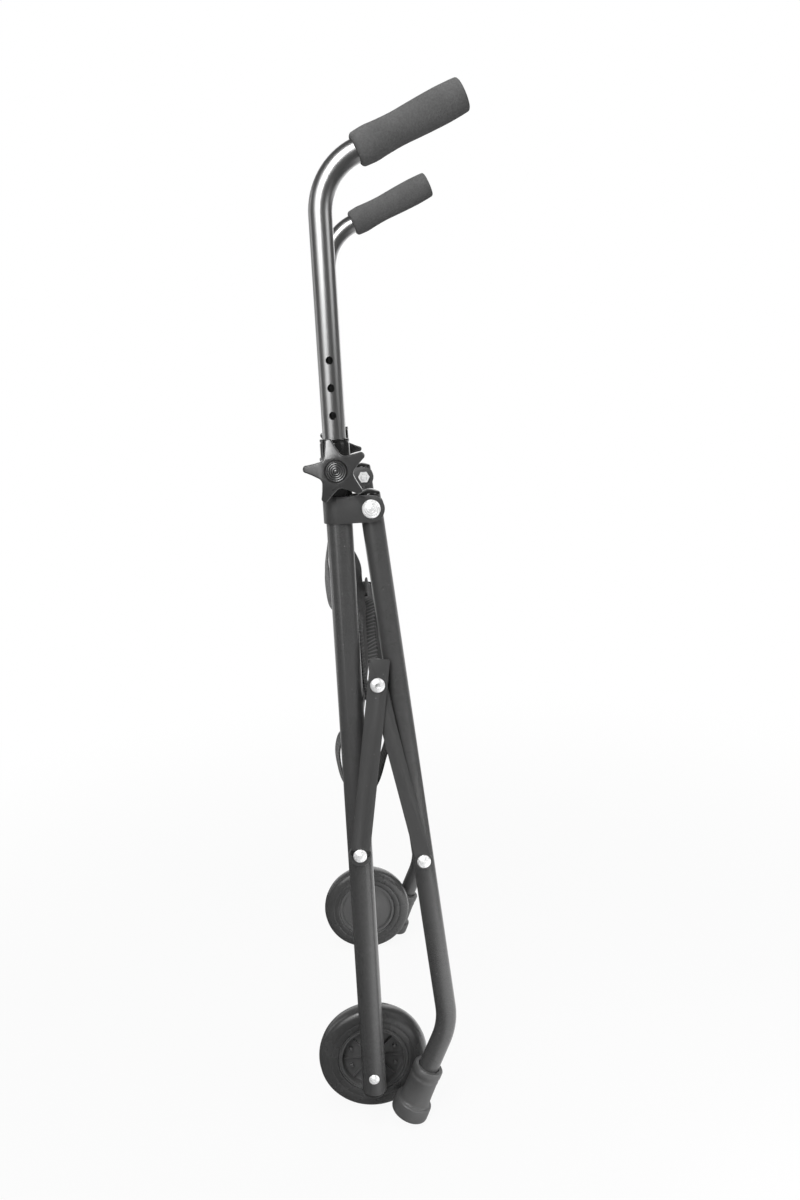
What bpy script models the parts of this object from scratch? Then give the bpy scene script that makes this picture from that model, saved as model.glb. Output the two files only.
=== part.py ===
"""Folding walker with two front wheels, folded for storage, as separate pieces.

Metres, +Z up. The walker travels towards -Y, and its left side is at +X.
The origin is on the floor, under the middle of the walker's bounding box.
Inside the file y = 0 is the centre line of the front tubes.
"""
from math import asin, atan2, cos, pi, radians, sin

import bmesh
import bpy
from mathutils import Matrix, Vector

# Clearances
FIT_GAP = 0.0003
SLIDE_GAP = 0.0003
WHEEL_SIDE_GAP = 0.0003

# Front frame
FRAME_WIDTH = 0.400
FRONT_TUBE_RADIUS = 0.0127
FRONT_TUBE_WALL = 0.0013
TUBE_BELOW_AXLE = 0.021
END_CAP_DOME = 0.005
END_CAP_SHANK = 0.007
CROSS_TUBE_RADIUS = 0.0098
CROSS_TUBE_WALL = 0.0014
LOWER_CROSS_Z = 0.290
UPPER_CROSS_Z = 0.640

# Height adjustment
SLEEVE_WALL = 0.00115
SLEEVE_CHAMFER = 0.0005
SLEEVE_ABOVE_KNOB = 0.0291
HOLE_RADIUS = 0.0033
HOLE_PITCH = 0.0254
KNOB_Z = 0.7099
HOLES_ABOVE_KNOB = 4
HOLES_BELOW_KNOB = 3
HANDLE_END_MARGIN = 0.020
HANDLE_WALL = 0.0013

# Handle bend and grip
HANDLE_BEND_START_Z = 0.941
HANDLE_BEND_RADIUS = 0.0595
GRIP_RISE = radians(24.1)
GRIP_LENGTH = 0.1095
GRIP_BULGE_RADIUS = 0.0165
GRIP_WAIST_RADIUS = 0.0155
GRIP_END_RADIUS = 0.0155
GRIP_END_ROUNDING = 0.0025
GRIP_SWELL = 0.0006
GRIP_BORE_END = 0.006

# Star knob
KNOB_ARMS = 5
LEFT_KNOB_ARM = radians(29)
RIGHT_KNOB_ARM = radians(67)
KNOB_TIP_REACH = 0.031
KNOB_TIP_RADIUS = 0.0032
KNOB_VALLEY_REACH = 0.0152
KNOB_VALLEY_SPREAD = radians(9)
KNOB_STAR_THICKNESS = 0.0125
KNOB_NECK_RADIUS = 0.0095
KNOB_NECK_LENGTH = 0.0065
KNOB_CAP_RADIUS = 0.0105
KNOB_EDGE = 0.0014
KNOB_CAP_DEPTH = 0.0022
KNOB_CAP_GROOVE = 0.0004
STUD_RADIUS = 0.0030
STUD_IN_KNOB = 0.0120
STUD_CHAMFER = 0.0006

# Leg pivot and its bracket
PIVOT_Y = 0.0312
PIVOT_Z = 0.6718
PIVOT_BOLT_RADIUS = 0.0040
PIVOT_HEAD_RADIUS = 0.0090
PIVOT_HEAD_HEIGHT = 0.0030
PIVOT_NUT_RADIUS = 0.0078
PIVOT_NUT_HEIGHT = 0.0048
PIVOT_BUSH_WALL = 0.0022
BOLT_TAIL = 0.0012
BRACKET_PLATE = 0.0020
BRACKET_HALF_HEIGHT = 0.0130

# Rear leg
LEG_RADIUS = 0.0110
LEG_WALL = 0.0014
LEG_LEAN = radians(5.26)
LEG_ABOVE_PIVOT = 0.0120
LEG_BEND_Z = 0.1123
LEG_BEND_RADIUS = 0.075
LEG_FOOT_LEAN = radians(24.43)
LEG_PLUG_DOME = 0.0035
LEG_PLUG_SHANK = 0.0045
LEG_PLUG_ROUNDING = 0.0030

# Rubber ferrule
FERRULE_BASE_RADIUS = 0.0205
FERRULE_EDGE_RADIUS = 0.0040
FERRULE_BASE_HEIGHT = 0.0135
FERRULE_WAIST_RADIUS = 0.0158
FERRULE_COLLAR_RADIUS = 0.01635
FERRULE_COLLAR_HEIGHT = 0.009
FERRULE_HEIGHT = 0.0605
FERRULE_FLOOR = 0.012
FERRULE_CHAMFER = 0.0012

# Folding brace
FRONT_EYE_Z = 0.3195
REAR_EYE_Z = 0.3070
MID_PIN_Y = 0.0276
MID_PIN_Z = 0.4980
FRONT_LINK_WIDTH = 0.0195
FRONT_LINK_EYE_RADIUS = 0.0115
FRONT_LINK_TAIL = 0.0262
FRONT_LINK_THICKNESS = 0.0030
FRONT_LINK_CORNER = 0.0015
REAR_LINK_WIDTH = 0.0158
REAR_LINK_EYE_RADIUS = 0.0090
REAR_LINK_THICKNESS = 0.0025
RIVET_RADIUS = 0.0030
RIVET_HEAD_RADIUS = 0.0070
RIVET_HEAD_HEIGHT = 0.0034
RIVET_INSIDE_TUBE = 0.0030
MID_HEAD_RADIUS = 0.00735
MID_HEAD_HEIGHT = 0.0042
MID_SOCKET_RADIUS = 0.0029
LINK_WASHER_RADIUS = 0.0075
LINK_NUT_RADIUS = 0.0062
LINK_NUT_HEIGHT = 0.0052

# Wheels
WHEEL_RADIUS = 0.060
WHEEL_INSET = 0.0315
TYRE_HALF_WIDTH = 0.0115
TYRE_TREAD_HALF = 0.0037
TYRE_CROWN = 0.0012
TYRE_SHOULDER = 0.0095
TYRE_BEAD = 0.0006
RIM_RADIUS = 0.0385
RIM_WALL = 0.0032
RIM_HALF_WIDTH = 0.0098
WEB_HALF_THICKNESS = 0.0015
WEB_OFFSET = 0.0050
WEB_FILLET = 0.0010
HUB_RADIUS = 0.0100
HUB_HALF_LENGTH = 0.0125
WHEEL_RIBS = 8
RIB_THICKNESS = 0.0016
RIB_HEIGHT = 0.0095
AXLE_RADIUS = 0.0040
BUSH_WALL = 0.0027
AXLE_HEAD_RADIUS = 0.0056
AXLE_HEAD_HEIGHT = 0.0026
AXLE_NUT_RADIUS = 0.0075
AXLE_NUT_HEIGHT = 0.0050
AXLE_SPACER_RADIUS = 0.0080

# Webbing strap
STRAP_WIDTH = 0.021
STRAP_END_WIDTH = 0.013
STRAP_THICKNESS = 0.0016
REAR_RUN_RISE = 0.080
FRONT_RUN_RISE = 0.109
REAR_RUN_LEAN = radians(55)
FRONT_RUN_LEAN = radians(75)
FLAP_WIDTH = 0.011
FLAP_DIRECTION = (0, 1, 0.15)
CURL_WIDTH = 0.017
CURL_DIRECTION = (0.97, 0.25, 0)
STRAP_FLARE_LENGTH = 0.025
STRAP_UPRIGHT_X = 0.155
STRAP_TURN_LENGTH = 0.025
TWIST_LENGTH = 0.009
STRAP_FREE_END = 0.0065
STRAP_TURN = 0.009

# Facets
TUBE_SIDES = 16
PIN_SIDES = 12
WHEEL_SIDES = 32
HOLE_SIDES = 8
ROUTE_STEPS = 2

# Derived sizes
HALF_WIDTH = FRAME_WIDTH / 2
FRONT_TUBE_TOP = KNOB_Z + SLEEVE_ABOVE_KNOB
FRONT_TUBE_BORE = FRONT_TUBE_RADIUS - FRONT_TUBE_WALL
HANDLE_RADIUS = FRONT_TUBE_BORE - SLIDE_GAP
GRIP_BORE = HANDLE_RADIUS + FIT_GAP
AXLE_Z = WHEEL_RADIUS
FRONT_TUBE_BOTTOM = AXLE_Z - TUBE_BELOW_AXLE
SLEEVE_BORE = FRONT_TUBE_RADIUS + FIT_GAP
SLEEVE_RADIUS = SLEEVE_BORE + SLEEVE_WALL
SLEEVE_BOTTOM = PIVOT_Z + BRACKET_HALF_HEIGHT + FIT_GAP
HANDLE_BOTTOM = KNOB_Z - HOLES_BELOW_KNOB * HOLE_PITCH - HANDLE_END_MARGIN
BRACKET_INNER = FRONT_TUBE_RADIUS + FIT_GAP
BRACKET_OUTER = BRACKET_INNER + BRACKET_PLATE
REAR_EYE_Y = PIVOT_Y + (PIVOT_Z - REAR_EYE_Z) * sin(LEG_LEAN) / cos(LEG_LEAN)
LEG_BEND_Y = PIVOT_Y + (PIVOT_Z - LEG_BEND_Z) * sin(LEG_LEAN) / cos(LEG_LEAN)
REAR_LINK_X = LEG_RADIUS + FIT_GAP
FRONT_LINK_X = REAR_LINK_X + REAR_LINK_THICKNESS + FIT_GAP
FRONT_LINK_OUTER = FRONT_LINK_X + FRONT_LINK_THICKNESS
WHEEL_X = HALF_WIDTH - WHEEL_INSET
GRIP_START_Y = HANDLE_BEND_RADIUS * (1 - sin(GRIP_RISE))
GRIP_START_Z = HANDLE_BEND_START_Z + HANDLE_BEND_RADIUS * cos(GRIP_RISE)
SIDES = (("left", 1), ("right", -1))


def grip_profile():
    """Outer outline of the foam grip, as (distance along it, radius)."""
    shoulder = GRIP_BULGE_RADIUS - GRIP_SWELL
    rounding = shoulder - GRIP_BORE - FIT_GAP
    start = [(rounding * (1 - sin(a)), shoulder - rounding * (1 - cos(a)))
             for a in (pi / 2, pi / 3, pi / 6, 0)]
    middle = [
        (0.12 * GRIP_LENGTH, GRIP_BULGE_RADIUS),
        (0.20 * GRIP_LENGTH, GRIP_BULGE_RADIUS - GRIP_SWELL / 2),
        (0.32 * GRIP_LENGTH, GRIP_WAIST_RADIUS + GRIP_SWELL / 2),
        (0.43 * GRIP_LENGTH, GRIP_WAIST_RADIUS),
        (0.56 * GRIP_LENGTH, GRIP_WAIST_RADIUS + GRIP_SWELL / 2),
        (0.72 * GRIP_LENGTH, GRIP_BULGE_RADIUS - GRIP_SWELL / 2),
        (0.86 * GRIP_LENGTH, GRIP_BULGE_RADIUS - GRIP_SWELL / 2),
    ]
    end = [(GRIP_LENGTH - GRIP_END_ROUNDING * (1 - sin(a)), GRIP_END_RADIUS - GRIP_END_ROUNDING * (1 - cos(a)))
           for a in (0, pi / 4, pi / 2)]
    return start + middle + end


def rear_reach():
    """Furthest point of the grips behind the front tubes."""
    reach = [s * cos(GRIP_RISE) + r * sin(GRIP_RISE) for s, r in grip_profile()]
    return GRIP_START_Y + max(reach)


FRONT_AXIS_Y = (WHEEL_RADIUS - rear_reach()) / 2


def remove_everything():
    """Start from an empty scene."""
    for obj in list(bpy.data.objects):
        bpy.data.objects.remove(obj, do_unlink=True)


def make_collection(name):
    collection = bpy.data.collections.new(name)
    bpy.context.scene.collection.children.link(collection)
    return collection


remove_everything()
WALKER = make_collection("two_wheeled_walker")
CUTTERS = make_collection("cutters")


def make_material(name, grey, roughness, metallic=0.0):
    """Principled material of one grey."""
    material = bpy.data.materials.new(name)
    material.use_nodes = True
    shader = material.node_tree.nodes["Principled BSDF"]
    shader.inputs["Base Color"].default_value = (grey, grey, grey, 1.0)
    shader.inputs["Roughness"].default_value = roughness
    shader.inputs["Metallic"].default_value = metallic
    material.diffuse_color = (grey, grey, grey, 1.0)
    return material


FRAME_PAINT = make_material("frame_paint", 0.12, 0.38, 0.55)
BRACKET_PAINT = make_material("bracket_paint", 0.10, 0.42, 0.40)
HANDLE_METAL = make_material("handle_metal", 0.42, 0.24, 1.0)
BRIGHT_STEEL = make_material("bright_steel", 0.80, 0.25, 1.0)
BLACK_PLASTIC = make_material("black_plastic", 0.015, 0.16)
KNOB_PLASTIC = make_material("knob_plastic", 0.12, 0.45)
FOAM = make_material("grip_foam", 0.09, 0.95)
RUBBER = make_material("ferrule_rubber", 0.13, 0.75)
TYRE = make_material("tyre_rubber", 0.10, 0.55)
RIM_PLASTIC = make_material("rim_plastic", 0.045, 0.5)
WEBBING = make_material("strap_webbing", 0.02, 0.9)
NYLON = make_material("nylon", 0.30, 0.5)


class Anchor:
    """An empty on a joint's axis, which its pieces hang from."""

    def __init__(self, name, place):
        self.place = Vector(place)
        self.empty = bpy.data.objects.new(name, None)
        self.empty.empty_display_size = 0.02
        self.empty.location = self.place + Vector((0, FRONT_AXIS_Y, 0))
        WALKER.objects.link(self.empty)

    def hold(self, obj, place, turn=None):
        """Parent a piece whose own origin goes to place, turned by a rotation matrix."""
        obj.parent = self.empty
        obj.location = Vector(place) - self.place
        if turn is not None:
            obj.rotation_mode = "QUATERNION"
            obj.rotation_quaternion = turn.to_quaternion()
        return obj


ALONG_X = Matrix(((0, 0, 1), (1, 0, 0), (0, 1, 0)))
OUTWARD = {1: Matrix.Rotation(pi / 2, 3, "Y"), -1: Matrix.Rotation(-pi / 2, 3, "Y")}


def make_object(name, mesh, material, collection=WALKER):
    obj = bpy.data.objects.new(name, mesh)
    collection.objects.link(obj)
    if material is not None:
        mesh.materials.append(material)
    return obj


def smooth(obj, angle=radians(35)):
    mesh = obj.data
    mesh.shade_smooth()
    mesh.set_sharp_from_angle(angle=angle)


def turned(name, profile, material, sides=TUBE_SIDES, closed=False):
    """Turned piece about its own Z: (radius, z) points down the outer side, top first."""
    mesh = bpy.data.meshes.new(name)
    bm = bmesh.new()
    ring = [bm.verts.new((r, 0, z)) for r, z in profile]
    for a, b in zip(ring, ring[1:]):
        bm.edges.new((a, b))
    if closed:
        bm.edges.new((ring[-1], ring[0]))
    bm.to_mesh(mesh)
    bm.free()
    obj = make_object(name, mesh, material)
    screw = obj.modifiers.new("turn", "SCREW")
    screw.axis = "Z"
    screw.angle = 2 * pi
    screw.steps = sides
    screw.render_steps = sides
    screw.use_merge_vertices = True
    screw.merge_threshold = 0.00001
    screw.use_smooth_shade = True
    return obj


def cutter(name, radius, length, sides=PIN_SIDES):
    """Cylinder about its own Z, from 0 to length, that only cuts."""
    mesh = bpy.data.meshes.new(name)
    bm = bmesh.new()
    bmesh.ops.create_cone(bm, cap_ends=True, segments=sides, radius1=radius, radius2=radius,
                          depth=length, matrix=Matrix.Translation((0, 0, length / 2)))
    bm.to_mesh(mesh)
    bm.free()
    obj = make_object(name, mesh, None, CUTTERS)
    hide_cutter(obj)
    return obj


def hide_cutter(obj):
    obj.hide_render = True
    obj.display_type = "WIRE"


def boolean(obj, other, operation="DIFFERENCE"):
    modifier = obj.modifiers.new(operation.lower(), "BOOLEAN")
    modifier.operation = operation
    modifier.solver = "EXACT"
    modifier.object = other


def evaluated_mesh(obj, name):
    """Mesh of an object as it stands, with its loose caps welded."""
    bpy.context.view_layer.update()
    graph = bpy.context.evaluated_depsgraph_get()
    mesh = bpy.data.meshes.new_from_object(obj.evaluated_get(graph))
    mesh.name = name
    bm = bmesh.new()
    bm.from_mesh(mesh)
    bmesh.ops.remove_doubles(bm, verts=bm.verts, dist=0.000005)
    bmesh.ops.recalc_face_normals(bm, faces=bm.faces)
    bm.to_mesh(mesh)
    bm.free()
    return mesh


def bent_tube(name, points, radius, wall, material, sides=TUBE_SIDES):
    """Hollow tube with open ends along a list of points, in the points' own frame."""
    curve = bpy.data.curves.new(name, "CURVE")
    curve.dimensions = "3D"
    curve.bevel_depth = radius
    curve.bevel_resolution = (sides - 4) // 2
    spline = curve.splines.new("POLY")
    spline.points.add(len(points) - 1)
    for point, place in zip(spline.points, points):
        point.co = (*place, 1)
    guide = bpy.data.objects.new(name + "_path", curve)
    CUTTERS.objects.link(guide)
    mesh = evaluated_mesh(guide, name)
    bpy.data.objects.remove(guide)
    mesh.materials.clear()
    obj = make_object(name, mesh, material)
    solidify = obj.modifiers.new("wall", "SOLIDIFY")
    solidify.thickness = wall
    solidify.offset = -1
    solidify.use_even_offset = True
    smooth(obj)
    return obj


def plate(name, outline, thickness, material, holes=()):
    """Flat plate in its own XY plane, as thick as given about z = 0.

    holes holds (x, y, radius) of each round hole.
    """
    curve = bpy.data.curves.new(name, "CURVE")
    curve.dimensions = "2D"
    curve.fill_mode = "BOTH"
    curve.extrude = thickness / 2
    loops = [outline]
    for x, y, radius in holes:
        loops.append([(x + radius * cos(2 * pi * i / PIN_SIDES), y + radius * sin(2 * pi * i / PIN_SIDES))
                      for i in range(PIN_SIDES)])
    for loop in loops:
        spline = curve.splines.new("POLY")
        spline.use_cyclic_u = True
        spline.points.add(len(loop) - 1)
        for point, (x, y) in zip(spline.points, loop):
            point.co = (x, y, 0, 1)
    guide = bpy.data.objects.new(name + "_outline", curve)
    CUTTERS.objects.link(guide)
    mesh = evaluated_mesh(guide, name)
    bpy.data.objects.remove(guide)
    mesh.materials.clear()
    obj = make_object(name, mesh, material)
    smooth(obj)
    return obj


def arc(centre, radius, start, end, steps):
    """Points on an arc in a plane, both ends included."""
    points = []
    for i in range(steps + 1):
        a = start + (end - start) * i / steps
        points.append((centre[0] + radius * cos(a), centre[1] + radius * sin(a)))
    return points


def ring_profile(inner, outer, low, high, chamfer=0.0):
    """Closed outline of a round tube or washer."""
    outside = [(outer, high), (outer, low)]
    if chamfer:
        outside = [(outer - chamfer, high), (outer, high - chamfer),
                   (outer, low + chamfer), (outer - chamfer, low)]
    return outside + [(inner, low), (inner, high)]


def head_and_shank(head_radius, head_height, shank_radius, shank_length, dome=0.6):
    """Domed head above z = 0, and a shank below it."""
    edge = head_height * (1 - dome)
    points = [(0, head_height)]
    for i in range(1, 4):
        a = i * pi / 6
        points.append((head_radius * sin(a), edge + head_height * dome * cos(a)))
    points += [(head_radius, 0), (shank_radius, 0), (shank_radius, -shank_length), (0, -shank_length)]
    return points


def hex_outline(radius):
    return [(radius * cos(pi * i / 3), radius * sin(pi * i / 3)) for i in range(6)]


FRAME = Anchor("front_frame_anchor", (0, 0, 0))


def outer_hole(obj, anchor, name, radius, place, side, reach, sides=PIN_SIDES):
    """Cut a round hole from a place outwards, through one wall."""
    tool = cutter(name, radius, reach, sides)
    anchor.hold(tool, place, OUTWARD[side])
    boolean(obj, tool)


def through_hole(obj, anchor, name, radius, place, side, reach):
    """Cut a round hole across the walker, as far as reach on both sides of a place."""
    x, y, z = place
    outer_hole(obj, anchor, name, radius, (x - side * reach, y, z), side, 2 * reach)


def as_cutter(obj):
    """Move a finished shape among the cutters."""
    CUTTERS.objects.link(obj)
    WALKER.objects.unlink(obj)
    hide_cutter(obj)


def build_front_tube(side_name, side):
    """Front tube with its holes for the stud, brace rivet and axle, and its end cap."""
    x = side * HALF_WIDTH
    tube = turned(side_name + "_front_tube",
                  ring_profile(FRONT_TUBE_BORE, FRONT_TUBE_RADIUS, FRONT_TUBE_BOTTOM, FRONT_TUBE_TOP),
                  FRAME_PAINT, closed=True)
    FRAME.hold(tube, (x, 0, 0))
    reach = 2 * FRONT_TUBE_RADIUS
    outer_hole(tube, FRAME, side_name + "_stud_hole_cutter", STUD_RADIUS + FIT_GAP,
               (x, 0, KNOB_Z), side, reach)
    outer_hole(tube, FRAME, side_name + "_front_rivet_cutter", RIVET_RADIUS + FIT_GAP,
               (x, 0, FRONT_EYE_Z), side, reach)
    through_hole(tube, FRAME, side_name + "_axle_hole_cutter", AXLE_RADIUS + FIT_GAP,
                 (x, 0, AXLE_Z), side, reach)
    shank = FRONT_TUBE_BORE - FIT_GAP
    profile = [(0, END_CAP_SHANK), (shank, END_CAP_SHANK), (shank, -FIT_GAP)]
    profile += [(FRONT_TUBE_RADIUS * cos(a), -FIT_GAP - END_CAP_DOME * sin(a))
                for a in (0, pi / 8, pi / 4, 3 * pi / 8)]
    profile += [(0, -FIT_GAP - END_CAP_DOME)]
    cap = turned(side_name + "_tube_end_cap", profile, BLACK_PLASTIC)
    FRAME.hold(cap, (x, 0, FRONT_TUBE_BOTTOM))


def build_sleeve(side_name, side):
    """Plastic sleeve round the top of the front tube."""
    x = side * HALF_WIDTH
    sleeve = turned(side_name + "_height_sleeve",
                    ring_profile(SLEEVE_BORE, SLEEVE_RADIUS, SLEEVE_BOTTOM, FRONT_TUBE_TOP, SLEEVE_CHAMFER),
                    BLACK_PLASTIC, closed=True)
    FRAME.hold(sleeve, (x, 0, 0))
    outer_hole(sleeve, FRAME, side_name + "_sleeve_stud_cutter", STUD_RADIUS + FIT_GAP,
               (x, 0, KNOB_Z), side, 2 * SLEEVE_RADIUS)


def bracket_side_outline():
    """Side view of the pivot bracket: square at the front tube, round at the pivot."""
    front = -BRACKET_OUTER - BRACKET_PLATE
    points = [(front, PIVOT_Z + BRACKET_HALF_HEIGHT), (front, PIVOT_Z - BRACKET_HALF_HEIGHT)]
    points += arc((PIVOT_Y, PIVOT_Z), BRACKET_HALF_HEIGHT, -pi / 2, pi / 2, 12)
    return points


def build_bracket(side_name, side):
    """U-shaped plate round the front tube that carries the leg's pivot bolt."""
    x = side * HALF_WIDTH
    middle = BRACKET_INNER + BRACKET_PLATE / 2
    rear = PIVOT_Y + BRACKET_HALF_HEIGHT + BRACKET_PLATE
    blank = BRACKET_HALF_HEIGHT + BRACKET_PLATE
    plan = [(-middle, rear)] + [(-px, -py) for px, py in arc((0, 0), middle, 0, pi, 14)] + [(middle, rear)]
    mesh = bpy.data.meshes.new(side_name + "_pivot_bracket")
    bm = bmesh.new()
    low = [bm.verts.new((px, py, PIVOT_Z - blank)) for px, py in plan]
    edges = [bm.edges.new(pair) for pair in zip(low, low[1:])]
    grown = bmesh.ops.extrude_edge_only(bm, edges=edges)["geom"]
    high = [v for v in grown if isinstance(v, bmesh.types.BMVert)]
    bmesh.ops.translate(bm, verts=high, vec=(0, 0, 2 * blank))
    bm.to_mesh(mesh)
    bm.free()
    bracket = make_object(side_name + "_pivot_bracket", mesh, BRACKET_PAINT)
    solidify = bracket.modifiers.new("plate", "SOLIDIFY")
    solidify.thickness = BRACKET_PLATE
    solidify.offset = 0
    solidify.use_even_offset = True
    FRAME.hold(bracket, (x, 0, 0))
    trim = plate(side_name + "_bracket_trim", bracket_side_outline(), 4 * BRACKET_OUTER, None)
    as_cutter(trim)
    FRAME.hold(trim, (x, 0, 0), ALONG_X)
    boolean(bracket, trim, "INTERSECT")
    through_hole(bracket, FRAME, side_name + "_bracket_bolt_cutter", PIVOT_BOLT_RADIUS + FIT_GAP,
                 (x, PIVOT_Y, PIVOT_Z), side, 2 * BRACKET_OUTER)
    smooth(bracket)


def build_pivot_fasteners(side_name, side):
    """Pivot bolt and nut, and the nylon bush on which the leg turns between the plates."""
    x = side * HALF_WIDTH
    seat = BRACKET_OUTER + FIT_GAP
    bolt = turned(side_name + "_pivot_bolt",
                  head_and_shank(PIVOT_HEAD_RADIUS, PIVOT_HEAD_HEIGHT, PIVOT_BOLT_RADIUS,
                                 2 * seat + PIVOT_NUT_HEIGHT + BOLT_TAIL, 0.45),
                  BRIGHT_STEEL, PIN_SIDES)
    FRAME.hold(bolt, (x + side * seat, PIVOT_Y, PIVOT_Z), OUTWARD[side])
    bore = PIVOT_BOLT_RADIUS + FIT_GAP
    nut = plate(side_name + "_pivot_nut", hex_outline(PIVOT_NUT_RADIUS), PIVOT_NUT_HEIGHT, BRIGHT_STEEL,
                [(0, 0, bore)])
    FRAME.hold(nut, (x - side * (seat + PIVOT_NUT_HEIGHT / 2), PIVOT_Y, PIVOT_Z), ALONG_X)
    half = BRACKET_INNER - FIT_GAP
    bush = turned(side_name + "_pivot_bush", ring_profile(bore, bore + PIVOT_BUSH_WALL, -half, half),
                  NYLON, PIN_SIDES, closed=True)
    FRAME.hold(bush, (x, PIVOT_Y, PIVOT_Z), OUTWARD[side])


def build_cross_tubes():
    """Straight lower and upper cross tubes, coped to the front tubes."""
    reach = HALF_WIDTH - FRONT_TUBE_RADIUS / 2
    cope_half = 2 * CROSS_TUBE_RADIUS
    for name, z in (("lower_cross_tube", LOWER_CROSS_Z), ("upper_cross_tube", UPPER_CROSS_Z)):
        tube = bent_tube(name, [(-reach, 0, z), (reach, 0, z)], CROSS_TUBE_RADIUS, CROSS_TUBE_WALL, FRAME_PAINT)
        FRAME.hold(tube, (0, 0, 0))
        for side_name, side in SIDES:
            tool = cutter(name + "_" + side_name + "_cope", FRONT_TUBE_RADIUS + FIT_GAP, 2 * cope_half,
                          TUBE_SIDES)
            FRAME.hold(tool, (side * HALF_WIDTH, 0, z - cope_half))
            boolean(tube, tool)


def handle_points():
    """Centre line of the handle tube: upright, bent back, then along the grip."""
    bend = [(HANDLE_BEND_RADIUS + px, pz) for px, pz in
            arc((0, HANDLE_BEND_START_Z), HANDLE_BEND_RADIUS, pi, pi / 2 + GRIP_RISE, 7)]
    end = GRIP_LENGTH - GRIP_BORE_END - FIT_GAP
    points = [(0, HANDLE_BOTTOM)] + bend
    points.append((GRIP_START_Y + end * cos(GRIP_RISE), GRIP_START_Z + end * sin(GRIP_RISE)))
    return [(0, y, z) for y, z in points]


def build_handle(side_name, side):
    """Handle tube with its row of height holes, and the foam grip on it."""
    x = side * HALF_WIDTH
    anchor = Anchor(side_name + "_handle_anchor", (x, 0, KNOB_Z))
    tube = bent_tube(side_name + "_handle_tube", handle_points(), HANDLE_RADIUS, HANDLE_WALL, HANDLE_METAL)
    anchor.hold(tube, (x, 0, 0))
    for i in range(-HOLES_BELOW_KNOB, HOLES_ABOVE_KNOB + 1):
        outer_hole(tube, anchor, "%s_height_hole_cutter_%d" % (side_name, i + HOLES_BELOW_KNOB),
                   HOLE_RADIUS, (x, 0, KNOB_Z + i * HOLE_PITCH), side, 2 * HANDLE_RADIUS, HOLE_SIDES)
    outer = [(r, s) for s, r in reversed(grip_profile())]
    profile = [(0, GRIP_LENGTH)] + outer + [(GRIP_BORE, 0), (GRIP_BORE, GRIP_LENGTH - GRIP_BORE_END),
                                           (0, GRIP_LENGTH - GRIP_BORE_END)]
    grip = turned(side_name + "_grip", profile, FOAM)
    anchor.hold(grip, (x, GRIP_START_Y, GRIP_START_Z), Matrix.Rotation(GRIP_RISE - pi / 2, 3, "X"))


def star_outline(first_arm):
    """Five tapered arms with round tips, and rounded valleys between them."""
    points = []
    tip_centre = KNOB_TIP_REACH - KNOB_TIP_RADIUS
    pitch = 2 * pi / KNOB_ARMS
    for arm in range(KNOB_ARMS):
        a = first_arm + arm * pitch
        centre = (tip_centre * cos(a), tip_centre * sin(a))
        points += arc(centre, KNOB_TIP_RADIUS, a - radians(75), a + radians(75), 4)
        for offset, reach in ((-1, 1.05), (0, 1.0), (1, 1.05)):
            b = a + pitch / 2 + offset * KNOB_VALLEY_SPREAD
            points.append((KNOB_VALLEY_REACH * reach * cos(b), KNOB_VALLEY_REACH * reach * sin(b)))
    return points


def build_knob(side_name, side):
    """Star knob with a recessed cap, on a threaded stud."""
    x = side * HALF_WIDTH
    anchor = Anchor(side_name + "_knob_anchor", (x, 0, KNOB_Z))
    neck_start = SLEEVE_RADIUS + FIT_GAP
    star_start = neck_start + KNOB_NECK_LENGTH
    star_end = star_start + KNOB_STAR_THICKNESS
    first_arm = LEFT_KNOB_ARM if side > 0 else RIGHT_KNOB_ARM
    star = plate(side_name + "_star_knob", star_outline(first_arm), KNOB_STAR_THICKNESS, KNOB_PLASTIC)
    bevel = star.modifiers.new("edges", "BEVEL")
    bevel.width = KNOB_EDGE
    bevel.segments = 1
    bevel.limit_method = "ANGLE"
    bevel.angle_limit = radians(60)
    anchor.hold(star, (x + side * (star_start + star_end) / 2, 0, KNOB_Z), ALONG_X)
    neck = cutter(side_name + "_knob_neck", KNOB_NECK_RADIUS, KNOB_NECK_LENGTH + KNOB_STAR_THICKNESS / 2,
                  TUBE_SIDES)
    anchor.hold(neck, (x + side * neck_start, 0, KNOB_Z), OUTWARD[side])
    boolean(star, neck, "UNION")
    recess = cutter(side_name + "_knob_recess", KNOB_CAP_RADIUS + FIT_GAP, KNOB_STAR_THICKNESS, TUBE_SIDES)
    anchor.hold(recess, (x + side * (star_end - KNOB_CAP_DEPTH), 0, KNOB_Z), OUTWARD[side])
    boolean(star, recess)
    stud_start = HANDLE_RADIUS + FIT_GAP
    stud_end = neck_start + STUD_IN_KNOB
    outer_hole(star, anchor, side_name + "_knob_bore", STUD_RADIUS + FIT_GAP,
               (x, 0, KNOB_Z), side, stud_end + FIT_GAP)
    stud = turned(side_name + "_knob_stud",
                  [(0, stud_end), (STUD_RADIUS, stud_end), (STUD_RADIUS, stud_start + STUD_CHAMFER),
                   (STUD_RADIUS - STUD_CHAMFER, stud_start), (0, stud_start)], BRIGHT_STEEL, PIN_SIDES)
    anchor.hold(stud, (x, 0, KNOB_Z), OUTWARD[side])
    low = star_end - KNOB_CAP_DEPTH + FIT_GAP
    high = star_end - 2 * KNOB_CAP_GROOVE
    groove = high - KNOB_CAP_GROOVE
    profile = [(0, high), (0.43 * KNOB_CAP_RADIUS, high), (0.53 * KNOB_CAP_RADIUS, groove),
               (0.64 * KNOB_CAP_RADIUS, high), (KNOB_CAP_RADIUS, groove), (KNOB_CAP_RADIUS, low), (0, low)]
    cap = turned(side_name + "_knob_cap", profile, KNOB_PLASTIC)
    anchor.hold(cap, (x, 0, KNOB_Z), OUTWARD[side])


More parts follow.
